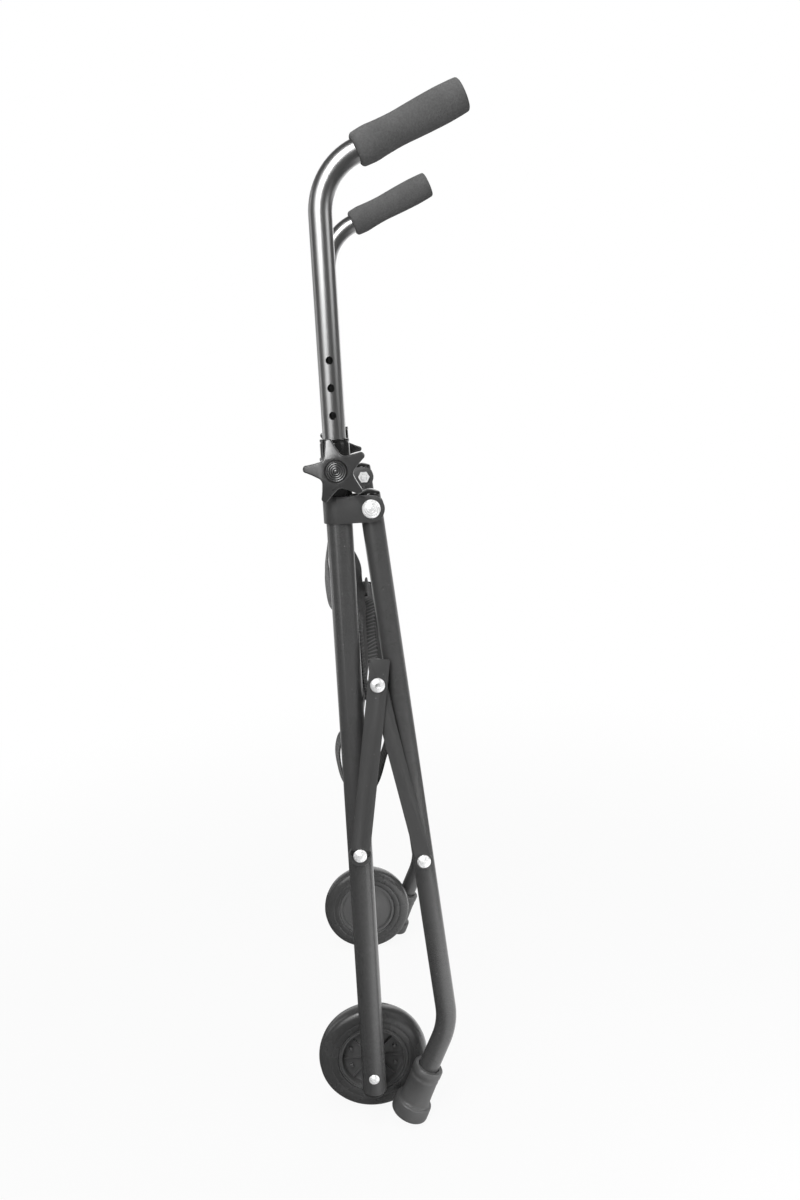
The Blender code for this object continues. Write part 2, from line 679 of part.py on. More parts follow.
def foot_direction():
    """Unit vector down the leg's lower section, as (y, z)."""
    return -sin(LEG_FOOT_LEAN), -cos(LEG_FOOT_LEAN)


def foot_length():
    """Length from the leg's bend to the ferrule's base, so that its rounded edge meets the floor."""
    drop = (FERRULE_BASE_RADIUS - FERRULE_EDGE_RADIUS) * sin(LEG_FOOT_LEAN)
    edge = FERRULE_EDGE_RADIUS * (1 - cos(LEG_FOOT_LEAN))
    return (LEG_BEND_Z - drop - edge) / cos(LEG_FOOT_LEAN)


def leg_points():
    """Centre line of the rear leg, from its top down to inside the ferrule."""
    down = (sin(LEG_LEAN), -cos(LEG_LEAN))
    foot = foot_direction()
    corner = LEG_LEAN + LEG_FOOT_LEAN
    cut = LEG_BEND_RADIUS * sin(corner / 2) / cos(corner / 2)
    start = (LEG_BEND_Y - cut * down[0], LEG_BEND_Z - cut * down[1])
    centre = (start[0] - LEG_BEND_RADIUS * cos(LEG_LEAN), start[1] - LEG_BEND_RADIUS * sin(LEG_LEAN))
    bend = arc(centre, LEG_BEND_RADIUS, LEG_LEAN, LEG_LEAN - corner, 5)
    length = foot_length() - FERRULE_FLOOR - FIT_GAP
    top = (PIVOT_Y - LEG_ABOVE_PIVOT * down[0], PIVOT_Z - LEG_ABOVE_PIVOT * down[1])
    end = (LEG_BEND_Y + length * foot[0], LEG_BEND_Z + length * foot[1])
    return [(0, y, z) for y, z in [top] + bend + [end]]


def build_rear_leg(side_name, side):
    """Bent rear leg with its top plug and rubber ferrule. Returns its anchor."""
    x = side * HALF_WIDTH
    anchor = Anchor(side_name + "_rear_leg_anchor", (x, PIVOT_Y, PIVOT_Z))
    leg = bent_tube(side_name + "_rear_leg", leg_points(), LEG_RADIUS, LEG_WALL, FRAME_PAINT)
    anchor.hold(leg, (x, 0, 0))
    bush_radius = PIVOT_BOLT_RADIUS + FIT_GAP + PIVOT_BUSH_WALL
    through_hole(leg, anchor, side_name + "_leg_pivot_cutter", bush_radius + FIT_GAP,
                 (x, PIVOT_Y, PIVOT_Z), side, 2 * LEG_RADIUS)
    outer_hole(leg, anchor, side_name + "_leg_rivet_cutter", RIVET_RADIUS + FIT_GAP,
               (x, REAR_EYE_Y, REAR_EYE_Z), side, 2 * LEG_RADIUS)
    shank = LEG_RADIUS - LEG_WALL - FIT_GAP
    top = FIT_GAP + LEG_PLUG_DOME
    profile = [(0, top)]
    profile += [(LEG_RADIUS - LEG_PLUG_ROUNDING * (1 - sin(a)), top - LEG_PLUG_ROUNDING * (1 - cos(a)))
                for a in (0, pi / 6, pi / 3, pi / 2)]
    profile += [(LEG_RADIUS, FIT_GAP), (shank, FIT_GAP), (shank, -LEG_PLUG_SHANK), (0, -LEG_PLUG_SHANK)]
    plug = turned(side_name + "_leg_plug", profile, BLACK_PLASTIC)
    top_y = PIVOT_Y - LEG_ABOVE_PIVOT * sin(LEG_LEAN)
    top_z = PIVOT_Z + LEG_ABOVE_PIVOT * cos(LEG_LEAN)
    anchor.hold(plug, (x, top_y, top_z), Matrix.Rotation(LEG_LEAN, 3, "X"))
    foot = foot_direction()
    base = (LEG_BEND_Y + foot_length() * foot[0], LEG_BEND_Z + foot_length() * foot[1])
    ferrule = turned(side_name + "_ferrule", ferrule_profile(), RUBBER)
    anchor.hold(ferrule, (x, *base), Matrix.Rotation(-LEG_FOOT_LEAN, 3, "X"))
    return anchor


def ferrule_profile():
    """Rubber tip: round-edged base, waisted body, collar and a bore for the leg."""
    bore = LEG_RADIUS + FIT_GAP
    edge = FERRULE_EDGE_RADIUS
    top = FERRULE_HEIGHT
    chamfer = FERRULE_CHAMFER
    profile = [
        (bore, top),
        (FERRULE_COLLAR_RADIUS - chamfer, top),
        (FERRULE_COLLAR_RADIUS, top - chamfer),
        (FERRULE_COLLAR_RADIUS, top - FERRULE_COLLAR_HEIGHT),
        (FERRULE_WAIST_RADIUS, top - FERRULE_COLLAR_HEIGHT - chamfer),
        (FERRULE_WAIST_RADIUS + chamfer, FERRULE_BASE_HEIGHT + 5 * chamfer),
        (FERRULE_BASE_RADIUS - chamfer, FERRULE_BASE_HEIGHT),
        (FERRULE_BASE_RADIUS, FERRULE_BASE_HEIGHT - chamfer),
    ]
    profile += [(FERRULE_BASE_RADIUS - edge + edge * cos(a), edge - edge * sin(a))
                for a in (0, pi / 8, pi / 4, 3 * pi / 8, pi / 2)]
    profile += [(0, 0)]
    return [(0, FERRULE_FLOOR), (bore, FERRULE_FLOOR)] + profile


def link_outline(length, eye_radius, half_width, end_extension, square):
    """Flat link along +Y from its eye at the origin to past its far hole."""
    if square:
        corner = FRONT_LINK_CORNER
        top = length + end_extension
        end = [(half_width, top - corner), (half_width - corner, top),
               (-half_width + corner, top), (-half_width, top - corner)]
    else:
        end = arc((0, length), half_width, 0, pi, 10)
    swell = asin(min(half_width / eye_radius, 1.0))
    eye = arc((0, 0), eye_radius, pi / 2 + swell, 2 * pi + pi / 2 - swell, 14)
    return end + eye


def build_links(side_name, side, leg_anchor):
    """Folding brace: outer front link and inner rear link, opened at the middle pin."""
    x = side * HALF_WIDTH
    mid = Vector((MID_PIN_Y, MID_PIN_Z))
    front_eye = Vector((0, FRONT_EYE_Z))
    rear_eye = Vector((REAR_EYE_Y, REAR_EYE_Z))
    front = mid - front_eye
    rear = mid - rear_eye
    front_anchor = Anchor(side_name + "_front_link_anchor", (x, *front_eye))
    rear_anchor = Anchor(side_name + "_rear_link_anchor", (x, *rear_eye))
    hole = RIVET_RADIUS + FIT_GAP
    outline = link_outline(front.length, FRONT_LINK_EYE_RADIUS, FRONT_LINK_WIDTH / 2, FRONT_LINK_TAIL, True)
    link = plate(side_name + "_front_link", outline, FRONT_LINK_THICKNESS, BRACKET_PAINT,
                 [(0, 0, hole), (0, front.length, hole)])
    lean = Matrix.Rotation(atan2(front.y, front.x) - pi / 2, 3, "X")
    middle = FRONT_LINK_X + FRONT_LINK_THICKNESS / 2
    front_anchor.hold(link, (x + side * middle, *front_eye), lean @ ALONG_X)
    outline = link_outline(rear.length, REAR_LINK_EYE_RADIUS, REAR_LINK_WIDTH / 2, 0, False)
    link = plate(side_name + "_rear_link", outline, REAR_LINK_THICKNESS, BRACKET_PAINT,
                 [(0, 0, hole), (0, rear.length, hole)])
    lean = Matrix.Rotation(atan2(rear.y, rear.x) - pi / 2, 3, "X")
    middle = REAR_LINK_X + REAR_LINK_THICKNESS / 2
    rear_anchor.hold(link, (x + side * middle, *rear_eye), lean @ ALONG_X)
    seat = FRONT_LINK_OUTER + FIT_GAP
    rivet = turned(side_name + "_front_link_rivet",
                   head_and_shank(RIVET_HEAD_RADIUS, RIVET_HEAD_HEIGHT, RIVET_RADIUS,
                                  seat - FRONT_TUBE_BORE + RIVET_INSIDE_TUBE),
                   BRIGHT_STEEL, PIN_SIDES)
    FRAME.hold(rivet, (x + side * seat, *front_eye), OUTWARD[side])
    seat_rear = REAR_LINK_X + REAR_LINK_THICKNESS + FIT_GAP
    rivet = turned(side_name + "_rear_link_rivet",
                   head_and_shank(RIVET_HEAD_RADIUS, RIVET_HEAD_HEIGHT, RIVET_RADIUS,
                                  seat_rear - LEG_RADIUS + LEG_WALL + RIVET_INSIDE_TUBE),
                   BRIGHT_STEEL, PIN_SIDES)
    leg_anchor.hold(rivet, (x + side * seat_rear, *rear_eye), OUTWARD[side])
    bolt = turned(side_name + "_link_bolt",
                  head_and_shank(MID_HEAD_RADIUS, MID_HEAD_HEIGHT, RIVET_RADIUS, FRONT_LINK_THICKNESS),
                  BRIGHT_STEEL, PIN_SIDES)
    front_anchor.hold(bolt, (x + side * seat, *mid), OUTWARD[side])
    socket = plate(side_name + "_link_bolt_socket", hex_outline(MID_SOCKET_RADIUS), MID_HEAD_HEIGHT, None)
    as_cutter(socket)
    front_anchor.hold(socket, (x + side * (seat + MID_HEAD_HEIGHT), *mid), ALONG_X)
    boolean(bolt, socket)
    build_link_nut(side_name, side, rear_anchor, mid)


def build_link_nut(side_name, side, anchor, mid):
    """Domed nut inside the rear link, whose neck carries the strap's ends."""
    x = side * HALF_WIDTH
    outer = REAR_LINK_X + REAR_LINK_THICKNESS - FIT_GAP
    strap_space = 2 * STRAP_THICKNESS + 3 * FIT_GAP
    flange = REAR_LINK_X - strap_space
    profile = [(0, outer), (RIVET_RADIUS, outer), (RIVET_RADIUS, flange), (LINK_NUT_RADIUS, flange),
               (LINK_NUT_RADIUS, flange - 0.42 * LINK_NUT_HEIGHT),
               (0.65 * LINK_NUT_RADIUS, flange - 0.92 * LINK_NUT_HEIGHT), (0, flange - LINK_NUT_HEIGHT)]
    nut = turned(side_name + "_link_nut", profile, BRIGHT_STEEL, PIN_SIDES)
    anchor.hold(nut, (x, *mid), OUTWARD[side])


def build_link_washer(side_name, side):
    """Spacer between the front tube and the front link."""
    low = FRONT_TUBE_RADIUS + FIT_GAP
    high = FRONT_LINK_X - FIT_GAP
    washer = turned(side_name + "_link_washer",
                    ring_profile(RIVET_RADIUS + FIT_GAP, LINK_WASHER_RADIUS, low, high),
                    NYLON, PIN_SIDES, closed=True)
    FRAME.hold(washer, (side * HALF_WIDTH, 0, FRONT_EYE_Z), OUTWARD[side])


def tyre_profile():
    """Solid tyre with rounded shoulders, as (radius, distance from its middle plane)."""
    half = TYRE_HALF_WIDTH
    side_depth = half - TYRE_TREAD_HALF
    outer = [(WHEEL_RADIUS, 0), (WHEEL_RADIUS - TYRE_CROWN / 3, -TYRE_TREAD_HALF)]
    for a in (pi / 6, pi / 3, pi / 2):
        outer.append((WHEEL_RADIUS - TYRE_CROWN - TYRE_SHOULDER * (1 - cos(a)),
                      -half + 0.77 * side_depth * (1 - sin(a))))
    outer += [(RIM_RADIUS + TYRE_BEAD, -half + TYRE_BEAD)]
    bore = RIM_RADIUS + FIT_GAP
    lower = outer + [(bore, -half + 2 * TYRE_BEAD)]
    upper = [(r, -s) for r, s in reversed(lower[1:])]
    return upper + lower


def rim_profile():
    """Rim ring, web and hub of the wheel; the web lies nearer the inner side."""
    ring_inner = RIM_RADIUS - RIM_WALL
    web_low = -WEB_OFFSET - WEB_HALF_THICKNESS
    web_high = -WEB_OFFSET + WEB_HALF_THICKNESS
    bore = AXLE_RADIUS + FIT_GAP + BUSH_WALL + FIT_GAP
    return [
        (RIM_RADIUS, RIM_HALF_WIDTH),
        (RIM_RADIUS, -RIM_HALF_WIDTH),
        (ring_inner, -RIM_HALF_WIDTH),
        (ring_inner - WEB_FILLET, web_low),
        (HUB_RADIUS + WEB_FILLET, web_low),
        (HUB_RADIUS, -HUB_HALF_LENGTH),
        (bore, -HUB_HALF_LENGTH),
        (bore, HUB_HALF_LENGTH),
        (HUB_RADIUS, HUB_HALF_LENGTH),
        (HUB_RADIUS + WEB_FILLET, web_high),
        (ring_inner - WEB_FILLET, web_high),
        (ring_inner, RIM_HALF_WIDTH),
    ]


def build_ribs(side_name):
    """Radial ribs of one wheel, in its own frame, as a tool to unite with the rim."""
    mesh = bpy.data.meshes.new(side_name + "_rim_ribs")
    bm = bmesh.new()
    inner = HUB_RADIUS - RIB_THICKNESS / 2
    outer = RIM_RADIUS - RIM_WALL / 2
    low = -WEB_OFFSET
    high = low + RIB_HEIGHT
    for i in range(WHEEL_RIBS):
        move = Matrix.Translation(((inner + outer) / 2, 0, (low + high) / 2))
        size = Matrix.Diagonal((outer - inner, RIB_THICKNESS, high - low, 1))
        turn = Matrix.Rotation(2 * pi * i / WHEEL_RIBS, 4, "Z")
        bmesh.ops.create_cube(bm, size=1, matrix=turn @ move @ size)
    bm.to_mesh(mesh)
    bm.free()
    ribs = make_object(side_name + "_rim_ribs", mesh, None, CUTTERS)
    hide_cutter(ribs)
    return ribs


def build_wheel(side_name, side):
    """Tyre, ribbed rim and bush of one wheel."""
    anchor = Anchor(side_name + "_wheel_anchor", (side * WHEEL_X, 0, AXLE_Z))
    place = (side * WHEEL_X, 0, AXLE_Z)
    tyre = turned(side_name + "_tyre", tyre_profile(), TYRE, WHEEL_SIDES, closed=True)
    anchor.hold(tyre, place, OUTWARD[side])
    rim = turned(side_name + "_wheel_rim", rim_profile(), RIM_PLASTIC, WHEEL_SIDES, closed=True)
    anchor.hold(rim, place, OUTWARD[side])
    ribs = build_ribs(side_name)
    anchor.hold(ribs, place, OUTWARD[side])
    boolean(rim, ribs, "UNION")
    bore = AXLE_RADIUS + FIT_GAP
    bush = turned(side_name + "_wheel_bush",
                  ring_profile(bore, bore + BUSH_WALL, -HUB_HALF_LENGTH, HUB_HALF_LENGTH),
                  NYLON, PIN_SIDES, closed=True)
    anchor.hold(bush, place, OUTWARD[side])


def build_axle(side_name, side):
    """Axle bolt through the front tube, with its spacer and nut."""
    x = side * HALF_WIDTH
    seat = FRONT_TUBE_RADIUS + FIT_GAP
    hub_outer = WHEEL_X + HUB_HALF_LENGTH
    hub_inner = WHEEL_X - HUB_HALF_LENGTH
    shank_end = hub_inner - WHEEL_SIDE_GAP - AXLE_NUT_HEIGHT - BOLT_TAIL
    bolt = turned(side_name + "_axle_bolt",
                  head_and_shank(AXLE_HEAD_RADIUS, AXLE_HEAD_HEIGHT, AXLE_RADIUS,
                                 HALF_WIDTH + seat - shank_end),
                  BRIGHT_STEEL, PIN_SIDES)
    FRAME.hold(bolt, (x + side * seat, 0, AXLE_Z), OUTWARD[side])
    low = hub_outer + WHEEL_SIDE_GAP
    high = HALF_WIDTH - FRONT_TUBE_RADIUS - FIT_GAP
    spacer = turned(side_name + "_axle_spacer",
                    ring_profile(AXLE_RADIUS + FIT_GAP, AXLE_SPACER_RADIUS, low, high),
                    BLACK_PLASTIC, PIN_SIDES, closed=True)
    FRAME.hold(spacer, (0, 0, AXLE_Z), OUTWARD[side])
    nut = plate(side_name + "_axle_nut", hex_outline(AXLE_NUT_RADIUS), AXLE_NUT_HEIGHT, BRIGHT_STEEL,
                [(0, 0, AXLE_RADIUS + FIT_GAP)])
    FRAME.hold(nut, (side * (hub_inner - WHEEL_SIDE_GAP - AXLE_NUT_HEIGHT / 2), 0, AXLE_Z), ALONG_X)


def smooth_route(points, steps=ROUTE_STEPS):
    """Catmull-Rom curve through the points."""
    dense = []
    last = len(points) - 1
    for i in range(last):
        p0, p1, p2, p3 = (Vector(points[min(max(j, 0), last)]) for j in (i - 1, i, i + 1, i + 2))
        for k in range(steps):
            t = k / steps
            dense.append(0.5 * (2 * p1 + (p2 - p0) * t + (2 * p0 - 5 * p1 + 4 * p2 - p3) * t ** 2
                                + (3 * p1 - p0 - 3 * p2 + p3) * t ** 3))
    dense.append(Vector(points[last]))
    return dense


def ribbon(name, route, guides, widths, material):
    """Flat webbing along a route; guides say which way its width points at each point."""
    mesh = bpy.data.meshes.new(name)
    bm = bmesh.new()
    rows = []
    for i, place in enumerate(route):
        tangent = (route[min(i + 1, len(route) - 1)] - route[max(i - 1, 0)]).normalized()
        across = guides[i] - tangent * guides[i].dot(tangent)
        across = across.normalized() * widths[i] / 2
        rows.append([bm.verts.new(place - across), bm.verts.new(place + across)])
    for a, b in zip(rows, rows[1:]):
        bm.faces.new((a[0], a[1], b[1], b[0]))
    bm.to_mesh(mesh)
    bm.free()
    obj = make_object(name, mesh, material)
    solidify = obj.modifiers.new("thickness", "SOLIDIFY")
    solidify.thickness = STRAP_THICKNESS
    solidify.offset = 0
    return obj


def strap_run(name, points, tab_x, leave, lean, anchor, tail):
    """One run of the strap from pin to pin, narrowed round the pins, with a loose tail.

    It leaves its pins upwards where leave is 1, and downwards where it is -1. Its width points along
    Y at the pins, leans towards X beside the left side, and stands upright between the two sides.
    """
    pins = [(tab_x, MID_PIN_Y, MID_PIN_Z), (-tab_x, MID_PIN_Y, MID_PIN_Z)]
    ends = [(x, y, z - leave * STRAP_FREE_END) for x, y, z in pins]
    turns = [(x, y, z + leave * STRAP_TURN) for x, y, z in pins]
    route = smooth_route([turns[0]] + points + [turns[1]])
    route = [Vector(ends[0]), Vector(pins[0])] + route + [Vector(pins[1]), Vector(ends[1])]
    guides = []
    widths = []
    for place in route:
        inwards = tab_x - abs(place.x)
        beside = min(max(inwards / TWIST_LENGTH, 0.0), 1.0)
        upright = beside
        if place.x > 0:
            upright = min(max((STRAP_UPRIGHT_X - place.x) / STRAP_TURN_LENGTH, 0.0), 1.0)
        share = beside - upright
        guides.append(Vector((share * sin(lean), leave * (1 - beside + share * cos(lean)), upright)))
        flare = min(max(inwards / STRAP_FLARE_LENGTH, 0.0), 1.0)
        widths.append(STRAP_END_WIDTH + (STRAP_WIDTH - STRAP_END_WIDTH) * flare)
    strap = ribbon(name, route, guides, widths, WEBBING)
    anchor.hold(strap, (0, 0, 0))
    tail_points, tail_width, tail_guide = tail
    route = smooth_route(tail_points)
    loose = ribbon(name + "_tail", route, [Vector(tail_guide)] * len(route), [tail_width] * len(route), None)
    as_cutter(loose)
    anchor.hold(loose, (0, 0, 0))
    boolean(strap, loose, "UNION")
    for side_name, side in SIDES:
        through_hole(strap, anchor, name + "_" + side_name + "_pin_cutter", RIVET_RADIUS + FIT_GAP,
                     (side * tab_x, MID_PIN_Y, MID_PIN_Z), side, 2 * STRAP_THICKNESS)


def strap_points(shares, rise):
    """Places along the strap, from shares of the half width, the pin's y and the rise."""
    return [(px * HALF_WIDTH, py * MID_PIN_Y, MID_PIN_Z + pz * rise) for px, py, pz in shares]


def build_strap(anchor):
    """Release strap between the middle pins of the braces, with a flap and a curled loose end."""
    rear_tab = HALF_WIDTH + REAR_LINK_X - FIT_GAP - STRAP_THICKNESS / 2
    front_tab = rear_tab - STRAP_THICKNESS - FIT_GAP
    rear_run = [(1.005, 0.89, 0.25), (0.975, 0.92, 0.38), (0.94, 0.89, 0.51), (0.91, 0.90, 0.67),
                (0.875, 0.92, 0.82), (0.80, 0.97, 0.96), (0.55, 0.96, 0.89), (0.0, 0.98, 0.66),
                (-0.55, 0.99, 0.42), (-0.825, 1.0, 0.33), (-0.93, 0.97, 0.34), (-1.005, 0.92, 0.26)]
    front_run = [(1.005, 0.82, -0.147), (0.95, 0.72, -0.17), (0.89, 0.56, -0.04), (0.875, 0.53, 0.19),
                 (0.86, 0.52, 0.42), (0.81, 0.46, 0.56), (0.725, 0.17, 0.60), (0.60, -0.29, 0.60),
                 (0.425, -0.65, 0.62), (0.20, -0.81, 0.76), (0.0, -0.83, 0.84), (-0.225, -0.83, 0.89),
                 (-0.45, -0.72, 0.93), (-0.625, -0.29, 0.85), (-0.75, 0.20, 0.68), (-0.83, 0.50, 0.46),
                 (-0.875, 0.54, 0.25), (-0.90, 0.56, 0.05), (-0.95, 0.69, -0.092), (-1.005, 0.87, -0.147)]
    flap = [(1.0512, 1.10, 0.02), (1.0512, 1.22, -0.16), (1.0512, 1.32, -0.37), (1.0512, 1.38, -0.50)]
    curl = [(0.89, 0.62, -0.15), (0.885, 0.86, -0.30), (0.88, 1.17, -0.51), (0.87, 1.28, -0.87),
            (0.865, 1.07, -1.13), (0.86, 0.80, -1.41), (0.855, 0.43, -1.60), (0.85, -0.04, -1.65),
            (0.845, -0.43, -1.47), (0.84, -0.59, -1.23), (0.835, -0.62, -1.02), (0.83, -0.47, -0.84),
            (0.825, -0.19, -0.77)]
    strap_run("strap_rear_run", strap_points(rear_run, REAR_RUN_RISE), rear_tab, 1, REAR_RUN_LEAN, anchor,
              (strap_points(flap, REAR_RUN_RISE), FLAP_WIDTH, FLAP_DIRECTION))
    strap_run("strap_front_run", strap_points(front_run, FRONT_RUN_RISE), front_tab, -1, FRONT_RUN_LEAN,
              anchor, (strap_points(curl, REAR_RUN_RISE), CURL_WIDTH, CURL_DIRECTION))


def build_walker():
    """Both sides, then what joins them."""
    for side_name, side in SIDES:
        build_front_tube(side_name, side)
        build_sleeve(side_name, side)
        build_bracket(side_name, side)
        build_handle(side_name, side)
        build_knob(side_name, side)
        leg_anchor = build_rear_leg(side_name, side)
        build_pivot_fasteners(side_name, side)
        build_links(side_name, side, leg_anchor)
        build_link_washer(side_name, side)
        build_wheel(side_name, side)
        build_axle(side_name, side)
    build_cross_tubes()
    build_strap(Anchor("strap_anchor", (0, MID_PIN_Y, MID_PIN_Z)))


build_walker()
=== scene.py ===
"""Folding walker with two front wheels: finished pieces, materials and studio round the CAD frame."""

from math import atan2, cos, degrees, pi, radians, sin, tan

import bmesh
import bpy
from bpy.props import FloatProperty, FloatVectorProperty, IntProperty, PointerProperty
from mathutils import Matrix, Vector


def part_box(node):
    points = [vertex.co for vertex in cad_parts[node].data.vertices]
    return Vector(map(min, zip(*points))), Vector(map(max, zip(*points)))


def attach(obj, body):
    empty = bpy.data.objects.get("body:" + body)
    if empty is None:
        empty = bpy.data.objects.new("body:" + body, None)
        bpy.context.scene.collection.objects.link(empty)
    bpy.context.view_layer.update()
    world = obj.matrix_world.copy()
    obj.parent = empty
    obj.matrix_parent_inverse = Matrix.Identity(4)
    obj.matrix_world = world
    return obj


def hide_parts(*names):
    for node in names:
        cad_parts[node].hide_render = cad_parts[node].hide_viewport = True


bl_info = {
    "name": "Two-wheeled folding walker",
    "version": (1, 0, 0),
    "blender": (4, 5, 0),
    "location": "View3D > Sidebar > Walker",
    "description": "Builds the pieces of a folding walker with two front wheels, and a studio for it",
    "category": "Object",
}

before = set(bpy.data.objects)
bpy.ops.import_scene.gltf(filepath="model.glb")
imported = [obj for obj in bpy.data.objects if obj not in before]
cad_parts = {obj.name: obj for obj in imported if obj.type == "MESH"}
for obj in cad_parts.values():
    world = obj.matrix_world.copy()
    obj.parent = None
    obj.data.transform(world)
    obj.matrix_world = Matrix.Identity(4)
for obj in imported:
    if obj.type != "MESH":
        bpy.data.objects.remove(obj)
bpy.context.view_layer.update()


def middle(node):
    """Centre of a CAD node's box."""
    low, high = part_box(node)
    return (low + high) / 2


# Places of the left side's joints and fasteners
TUBE_LOW, TUBE_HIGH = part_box("left_front_tube")
HALF_WIDTH = (TUBE_LOW.x + TUBE_HIGH.x) / 2
TUBE_Y = (TUBE_LOW.y + TUBE_HIGH.y) / 2
KNOB = middle("left_knob_stud")
PIVOT = middle("left_pivot_bolt")
FRONT_EYE = middle("left_front_link_rivet")
REAR_EYE = middle("left_rear_link_rivet")
MID_PIN = middle("left_link_bolt")
AXLE = middle("left_axle_bolt")
WHEEL_X = middle("left_tyre").x

# Clearance between fitted pieces, and thicknesses of walls and plates
GAP = 0.0003
FRONT_WALL = 0.0013
HANDLE_WALL = 0.0013
LEG_WALL = 0.0014
CROSS_WALL = 0.0014
SLEEVE_WALL = 0.00115
BRACKET_PLATE = 0.0020
STRAP_WALL = 0.0015

# Pins of the braces and knobs, axles and pivot bolts, and the holes for them
PIN_RADIUS = 0.0030
PIN_HOLE = PIN_RADIUS + GAP
AXLE_RADIUS = 0.0040
AXLE_HOLE = AXLE_RADIUS + GAP
DRILL_REACH = 0.03

# Heads: radius, height, and shares of the radius at which a ring is turned into the face
PIVOT_HEAD = (0.0090, 0.0030, (0.8, 0.55, 0.3))
RIVET_HEAD = (0.0070, 0.0034, (0.68, 0.42))
MID_HEAD = (0.00735, 0.0042, ())
AXLE_HEAD = (0.0056, 0.0026, (0.68,))
SCREW_HEAD = (0.0026, 0.0011, (0.42,))

# Handle, grip and sleeve
HANDLE_BEND_START = 0.941
HANDLE_BEND_RADIUS = 0.0595
GRIP_RISE = radians(24.1)
GRIP_LENGTH = 0.1095
GRIP_END_WALL = 0.0060
HOLES_BELOW_KNOB = 3
HOLES_ABOVE_KNOB = 4
COUNTERSINK = 0.0006
END_CAP_DOME = 0.005
SCREW_TURN = radians(32)
SCREW_RISE = 0.0052

# Star knob: depth of its neck, first arms of the two knobs, and steps of an arm as (distance from the
# knob's axis, half the arm's width, fall of its front edge)
KNOB_NECK = 0.0065
KNOB_NECK_RADIUS = 0.0095
LEFT_ARM = radians(29)
RIGHT_ARM = radians(67)
ARM_START = (0.0123, 0.00893)
ARM_STEPS = ((0.0170, 0.00700, 0.0007), (0.0220, 0.00515, 0.0013),
             (0.0275, 0.00350, 0.0016), (0.0310, 0.00320, 0.0012))

# Bracket, leg and ferrule
BRACKET_HALF_HEIGHT = 0.013
TRIM_MARGIN = 0.006
NUT_HEIGHT = 0.0048
LEG_LEAN = radians(5.26)
LEG_ABOVE_PIVOT = 0.012
LEG_BEND_Z = 0.1123
LEG_BEND_RADIUS = 0.075
FOOT_LEAN = radians(24.43)
FOOT_LENGTH = 0.115455
FERRULE_HEIGHT = 0.0605
FERRULE_FLOOR = 0.012
COLLAR_RADIUS = 0.01635
WAIST_RADIUS = 0.0157
BASE_RADIUS = 0.0205
BASE_EDGE = 0.0040

# Brace bars: width, eye's radius, length past the middle pin, rounding of the free corners
FRONT_BAR = (0.0195, 0.0115, 0.0262, 0.0015)
REAR_BAR = (0.0158, 0.0090, 0.0079, 0.0078)

# Wheel
HUB_HALF_LENGTH = 0.0125
RIB_COUNT = 8
BOSS_CIRCLE = 0.0262

# Strap: sizes of its ends and turns, then its route as shares of the half width, of the middle pin's
# distance behind the tube, and of the run's rise
STRAP_END_WIDTH = 0.013
STRAP_FLARE_LENGTH = 0.025
STRAP_UPRIGHT_X = 0.155
STRAP_TURN_LENGTH = 0.025
TWIST_LENGTH = 0.009
STRAP_FREE_END = 0.0065
STRAP_TURN = 0.009
REAR_RUN_RISE = 0.080
FRONT_RUN_RISE = 0.109
REAR_RUN_LEAN = radians(55)
FRONT_RUN_LEAN = radians(75)
FRONT_RUN_TIP = 0.2
REAR_RUN = [(1.005, 0.89, 0.25), (0.975, 0.92, 0.38), (0.94, 0.89, 0.51), (0.91, 0.90, 0.67),
            (0.875, 0.92, 0.82), (0.80, 0.97, 0.96), (0.55, 0.96, 0.89), (0.0, 0.98, 0.66),
            (-0.55, 0.99, 0.42), (-0.825, 1.0, 0.33), (-0.93, 0.97, 0.34), (-1.005, 0.92, 0.26)]
FRONT_RUN = [(1.005, 0.82, -0.147), (0.95, 0.72, -0.17), (0.89, 0.56, -0.04), (0.875, 0.53, 0.19),
             (0.86, 0.52, 0.42), (0.81, 0.46, 0.56), (0.725, 0.17, 0.60), (0.60, -0.29, 0.60),
             (0.425, -0.58, 0.62), (0.20, -0.72, 0.76), (0.0, -0.74, 0.84), (-0.225, -0.74, 0.89),
             (-0.45, -0.66, 0.93), (-0.625, -0.29, 0.85), (-0.75, 0.20, 0.68), (-0.83, 0.50, 0.46),
             (-0.875, 0.54, 0.25), (-0.90, 0.56, 0.05), (-0.95, 0.69, -0.092), (-1.005, 0.87, -0.147)]
FLAP = [(1.0512, 1.10, 0.02), (1.0512, 1.22, -0.16), (1.0512, 1.32, -0.37), (1.0512, 1.38, -0.50)]
FLAP_WIDTH = 0.011
FLAP_ACROSS = (0, 1, 0.15)
CURL = [(0.89, 0.62, -0.15), (0.885, 0.86, -0.30), (0.88, 1.17, -0.51), (0.87, 1.28, -0.87),
        (0.865, 1.07, -1.13), (0.86, 0.80, -1.41), (0.855, 0.43, -1.60), (0.85, -0.04, -1.65),
        (0.845, -0.43, -1.47), (0.84, -0.59, -1.23), (0.835, -0.62, -1.02), (0.83, -0.47, -0.84),
        (0.825, -0.19, -0.77)]
CURL_WIDTH = 0.017
CURL_ACROSS = (0.97, 0.25, 0)

